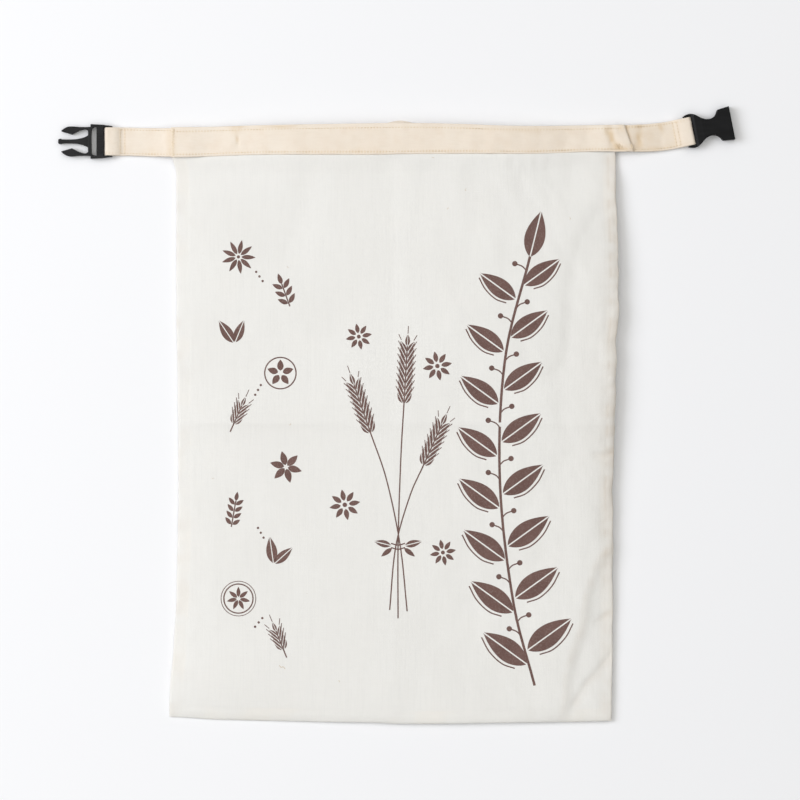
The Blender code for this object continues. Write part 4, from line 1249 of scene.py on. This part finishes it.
class Shader:
    """Nodes of a material or a world, each added with its inputs, by value or by link."""

    def __init__(self, name, kind="materials"):
        self.owner = getattr(bpy.data, kind).new(name)
        self.owner.use_nodes = True
        self.tree = self.owner.node_tree

    def connect(self, socket, value):
        if isinstance(value, bpy.types.NodeSocket):
            self.tree.links.new(value, socket)
        else:
            socket.default_value = value

    def add(self, kind, inputs=(), **settings):
        node = self.tree.nodes.new("ShaderNode" + kind)
        for key, value in settings.items():
            setattr(node, key, value)
        for name, value in dict(inputs).items():
            self.connect(node.inputs[name], value)
        return node

    def place(self):
        return self.add("TexCoord").outputs["Object"]

    def attribute(self, name):
        return self.add("Attribute", attribute_name=name).outputs["Fac"]

    def math(self, operation, first, second=0.0):
        return self.add("Math", {0: first, 1: second}, operation=operation).outputs[0]

    def times(self, first, second):
        return self.math("MULTIPLY", first, second)

    def plus(self, first, second):
        return self.math("ADD", first, second)

    def mix(self, factor, first, second):
        """Colours mixed by a factor."""
        node = self.add("Mix", data_type="RGBA")
        colours = [socket for socket in node.inputs if socket.type == "RGBA"]
        for socket, value in zip([node.inputs[0]] + colours, (factor, first, second)):
            self.connect(socket, (*value, 1) if isinstance(value, tuple) else value)
        return next(socket for socket in node.outputs if socket.type == "RGBA")

    def layered(self, base, layers):
        """The base under other colours, each with how much of it there is."""
        for share, colour in layers:
            base = self.mix(share, base, colour)
        return base

    def band(self, value, low, high, to_low=0.0, to_high=1.0, **settings):
        inputs = {"Value": value, "From Min": low, "From Max": high, "To Min": to_low, "To Max": to_high}
        return self.add("MapRange", inputs, **settings).outputs[0]

    def noise(self, vector, size, detail=2.0, stretch=(1.0, 1.0, 1.0)):
        """Noise with features of about that size."""
        scale = tuple(1.0 / (size * share) for share in stretch)
        scaled = self.add("VectorMath", {0: vector, 1: scale}, operation="MULTIPLY").outputs[0]
        return self.add("TexNoise", {"Vector": scaled, "Scale": 1.0, "Detail": detail}).outputs["Fac"]

    def surface(self, values):
        for name, value in values.items():
            self.connect(self.tree.nodes["Principled BSDF"].inputs[name], value)
        return self.owner

    def finish(self, colour, roughness, height, depth, sheen=0.0):
        bump = self.add("Bump", {"Height": height, "Strength": 1.0, "Distance": depth})
        return self.surface({
            "Base Color": colour, "Roughness": roughness, "Sheen Weight": sheen,
            "Normal": bump.outputs[0],
        })


def cotton_weave(shader, place):
    """Height of the cloth's plain weave, 0 to 1."""
    def wave(along, length):
        return shader.math("SINE", shader.times(along, 2 * pi / length))

    axes = shader.add("SeparateXYZ", {0: place}).outputs
    wander = shader.times(shader.noise(place, 0.006, 1.0), 0.0006)
    u, v = shader.plus(axes[0], wander), shader.math("SUBTRACT", axes[1], wander)
    over = shader.times(wave(u, 2 * WEAVE_PITCH), wave(v, 2 * WEAVE_PITCH))
    warp, weft = (shader.band(wave(along, WEAVE_PITCH), -1.0, 1.0) for along in (u, v))
    share = shader.band(over, -0.35, 0.35)
    under = shader.math("SUBTRACT", 1.0, share)
    return shader.plus(shader.times(warp, share), shader.times(weft, under))


def cloth_material():
    shader = Shader("cotton")
    place = shader.place()
    weave = cotton_weave(shader, place)
    slub_across = shader.noise(place, 0.0009, stretch=(14.0, 1.0, 1.0))
    slub_up = shader.noise(place, 0.0009, stretch=(1.0, 30.0, 1.0))
    slubs = shader.plus(slub_across, slub_up)
    clouds = shader.noise(place, 0.055, 3.0)
    warm_clouds = shader.noise(place, 0.028)
    beige = shader.times(shader.attribute("seam"), shader.band(warm_clouds, 0.42, 0.62, 0.05, 0.45))
    # Greyer along and just below the pressed line
    grey = shader.times(shader.attribute("pressed"), shader.band(warm_clouds, 0.3, 0.6, 0.04, 0.12))
    cells = shader.add("TexVoronoi", {"Vector": place, "Scale": 95.0}).outputs
    chosen = shader.add("SeparateColor", {0: cells["Color"]}).outputs[0]
    near = shader.band(cells["Distance"], 0.016, 0.03, 1.0, 0.0)
    fleck = shader.times(near, shader.band(chosen, 0.8, 0.84))
    base = shader.mix(shader.band(clouds, 0.35, 0.65), (0.823, 0.809, 0.768), (0.843, 0.831, 0.791))
    base = shader.layered(base, [
        (shader.band(warm_clouds, 0.52, 0.8, 0.0, 0.35), (0.838, 0.812, 0.76)),
        (shader.band(slubs, 0.82, 1.18, 0.0, 0.25), (0.792, 0.779, 0.738)),
        (shader.band(slub_up, 0.5, 0.72, 0.0, 0.3), (0.78, 0.769, 0.73)),
        # Painted shade: the weave's hollows are coloured darker
        (shader.band(weave, 0.0, 0.7, 0.18, 0.0), (0.726, 0.711, 0.664)),
        (beige, (0.852, 0.814, 0.742)),
        (grey, (0.56, 0.54, 0.5)),
        # Brown soil beside the seams and along the sharp folds, with painted shade at the right seam's
        # very edge, in the folds' troughs and at the back's right edge
        (shader.times(shader.attribute("soil"), 0.41), (0.64, 0.555, 0.46)),
        (shader.times(fleck, 0.4), (0.46, 0.37, 0.26)),
    ])
    height = shader.plus(weave, shader.times(slubs, 0.9))
    return shader.finish(base, shader.band(clouds, 0.3, 0.7, 0.86, 0.94), height, 0.00006, sheen=0.1)


def tape_material():
    shader = Shader("twill_tape")
    along, across, rows, ends, stain, beat = (
        shader.attribute(name) for name in ("along", "across", "rows", "ends", "stain", "beat")
    )
    place = shader.place()
    wander = shader.times(shader.noise(place, 0.004, 1.0), 0.0005)
    diagonal = shader.plus(shader.plus(along, across), wander)
    twill = shader.math("SINE", shader.times(diagonal, 2 * pi / TWILL_PITCH))
    rib = shader.math("SINE", shader.times(across, 2 * pi / RIB_PITCH))
    weave = shader.band(shader.plus(twill, shader.times(rib, 0.5)), -1.5, 1.5)
    clouds = shader.noise(place, 0.022, 3.0)
    blotches = shader.noise(place, 0.009)
    slubs = shader.noise(place, 0.0012, stretch=(5.0, 1.0, 1.0))
    spotted = shader.band(shader.noise(place, 0.006, 1.0), 0.34, 0.66, 0.45, 1.0)
    patchy = shader.band(shader.noise(place, 0.015, 1.0), 0.38, 0.64, 0.1, 0.6)
    dash = shader.band(shader.math("COSINE", shader.times(beat, 2 * pi)), -0.6, 0.6, 1.0, 0.15)
    threads = shader.plus(shader.times(shader.times(rows, dash), patchy), shader.times(ends, 0.16))
    stains = shader.times(stain, shader.times(spotted, 0.62))
    base = shader.mix(shader.band(clouds, 0.35, 0.65), (0.856, 0.756, 0.636), (0.882, 0.794, 0.68))
    base = shader.layered(base, [
        (shader.band(blotches, 0.46, 0.74, 0.0, 0.4), (0.806, 0.68, 0.545)),
        (shader.band(slubs, 0.42, 0.72, 0.0, 0.14), (0.764, 0.65, 0.505)),
        # Painted shade: the twill's hollows are coloured darker
        (shader.band(weave, 0.0, 0.6, 0.18, 0.0), (0.68, 0.556, 0.42)),
        # Thread colour along the rows and stains, with painted shade in some creases and painted shadow
        # beside the band's cut end
        (shader.plus(threads, stains), (0.7, 0.53, 0.33)),
    ])
    roughness = shader.band(clouds, 0.3, 0.7, 0.82, 0.92)
    return shader.finish(base, roughness, shader.plus(weave, slubs), 0.00009, sheen=0.12)


def thread_material():
    shader = Shader("sewing_thread")
    place = shader.place()
    ply = shader.noise(place, 0.00025, 1.0)
    tint = shader.noise(place, 0.01, 1.0)
    base = shader.mix(shader.band(tint, 0.3, 0.7), (0.76, 0.62, 0.42), (0.82, 0.7, 0.52))
    base = shader.mix(shader.band(ply, 0.4, 0.7, 0.0, 0.4), base, (0.6, 0.45, 0.27))
    return shader.finish(base, shader.band(ply, 0.2, 0.8, 0.5, 0.7), ply, 0.00004, sheen=0.1)


def lint_material():
    shader = Shader("loose_fibre")
    tint = shader.noise(shader.place(), 0.006, 1.0)
    base = shader.mix(shader.band(tint, 0.3, 0.7), (0.56, 0.43, 0.27), (0.64, 0.56, 0.45))
    return shader.finish(base, shader.band(tint, 0.3, 0.7, 0.75, 0.9), tint, 0.00002)


def ink_material():
    shader = Shader("brown_ink")
    place = shader.place()
    weave = cotton_weave(shader, place)
    patches = shader.noise(place, 0.012, 3.0)
    grain = shader.noise(place, 0.0007)
    base = shader.mix(shader.band(patches, 0.35, 0.65), (0.128, 0.064, 0.052), (0.16, 0.086, 0.072))
    bare = shader.times(shader.band(weave, 0.0, 0.25, 1.0, 0.0), shader.band(grain, 0.5, 0.62))
    base = shader.mix(shader.times(bare, 0.55), base, (0.56, 0.5, 0.44))
    return shader.finish(base, shader.band(patches, 0.3, 0.7, 0.72, 0.84), weave, 0.00007)


def plastic_material(name, colours, specular):
    shader = Shader(name)
    place = shader.place()
    grain = shader.noise(place, 0.00035)
    marks = shader.noise(place, 0.004, 3.0, (4.0, 1.0, 1.0))
    base = shader.mix(shader.band(marks, 0.4, 0.75), *colours)
    shader.surface({"Specular IOR Level": specular})
    return shader.finish(base, shader.band(marks, 0.3, 0.7, 0.36, 0.5), grain, 0.00002)


def floor_material():
    return Shader("pale_floor").surface({"Base Color": (*FLOOR_COLOUR, 1), "Roughness": 0.9})


# Stage


def make_stage():
    low, high, z = -FLOOR_REACH, FLOOR_REACH, -FLOOR_BELOW
    corners = [(low, low, z), (high, low, z), (high, high, z), (low, high, z)]
    floor = add_mesh("floor", corners, [(0, 1, 2, 3)], floor_material())


def direction(bearing, elevation):
    flat = cos(elevation)
    return Vector((flat * cos(bearing), flat * sin(bearing), sin(elevation)))


def make_key():
    """A large soft light, turned to the bag."""
    light = bpy.data.lights.new("key", "AREA")
    light.shape = "DISK"
    light.size = KEY_SIZE
    light.energy = KEY_POWER
    light.color = KEY_COLOUR
    way = direction(KEY_BEARING, KEY_ELEVATION)
    lamp = add_object("key", light)
    lamp.location = KEY_DISTANCE * way
    lamp.rotation_euler = (-way).to_track_quat("-Z", "Y").to_euler()


def make_dome():
    """A studio's white ceiling: light from all over it, little from low down."""
    shader = Shader("studio", "worlds")
    way = direction(DOME_BEARING, DOME_ELEVATION)
    place = shader.add("TexCoord").outputs["Generated"]
    dot = shader.add("VectorMath", {0: place, 1: way}, operation="DOT_PRODUCT").outputs["Value"]
    levels = (DOME_FROM, DOME_TO, DOME_DIM, DOME_BRIGHT)
    background = shader.tree.nodes["Background"].inputs
    shader.connect(background["Color"], DOME_COLOUR)
    shader.connect(background["Strength"], shader.band(dot, *levels, interpolation_type="SMOOTHSTEP"))
    bpy.context.scene.world = shader.owner


def make_camera():
    data = bpy.data.cameras.new("camera")
    data.sensor_width = CAMERA_SENSOR
    data.lens = data.sensor_width * CAMERA_HEIGHT / PICTURE_WIDTH
    camera = add_object("camera", data)
    camera.location = (CAMERA_X, CAMERA_Y, CAMERA_HEIGHT)
    bpy.context.scene.camera = camera
    bpy.context.scene.view_settings.view_transform = "Standard"


def main():
    make_stage()
    make_key()
    make_dome()
    make_camera()
    cotton, twill, thread = cloth_material(), tape_material(), thread_material()
    front = make_front_cloth(cotton)
    back = make_back_cloth(cotton)
    front_tape, back_tape, band_sewing = make_bands(twill, thread)
    left, right = [make_strap(strap, twill, thread) for strap in STRAPS]
    ink = ink_material()
    drawn = {
        "branch_print": branch_print(), "middle_print": middle_print(), "scatter_print": scatter_print(),
    }
    prints = [make_print(name, strips, front, ink) for name, strips in drawn.items()]
    prints.append(make_print("lint", lint_strips(), front, lint_material()))
    worn = plastic_material("worn_plastic", ((0.0075, 0.0072, 0.0078), (0.016, 0.015, 0.016)), 0.2)
    dark = plastic_material("dark_plastic", ((0.003, 0.003, 0.0034), (0.008, 0.008, 0.0086)), 0.13)
    for name, plastic in (("buckle_male", worn), ("buckle_female", dark)):
        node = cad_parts[name]
        node.data.materials.clear()
        node.data.materials.append(plastic)


main()
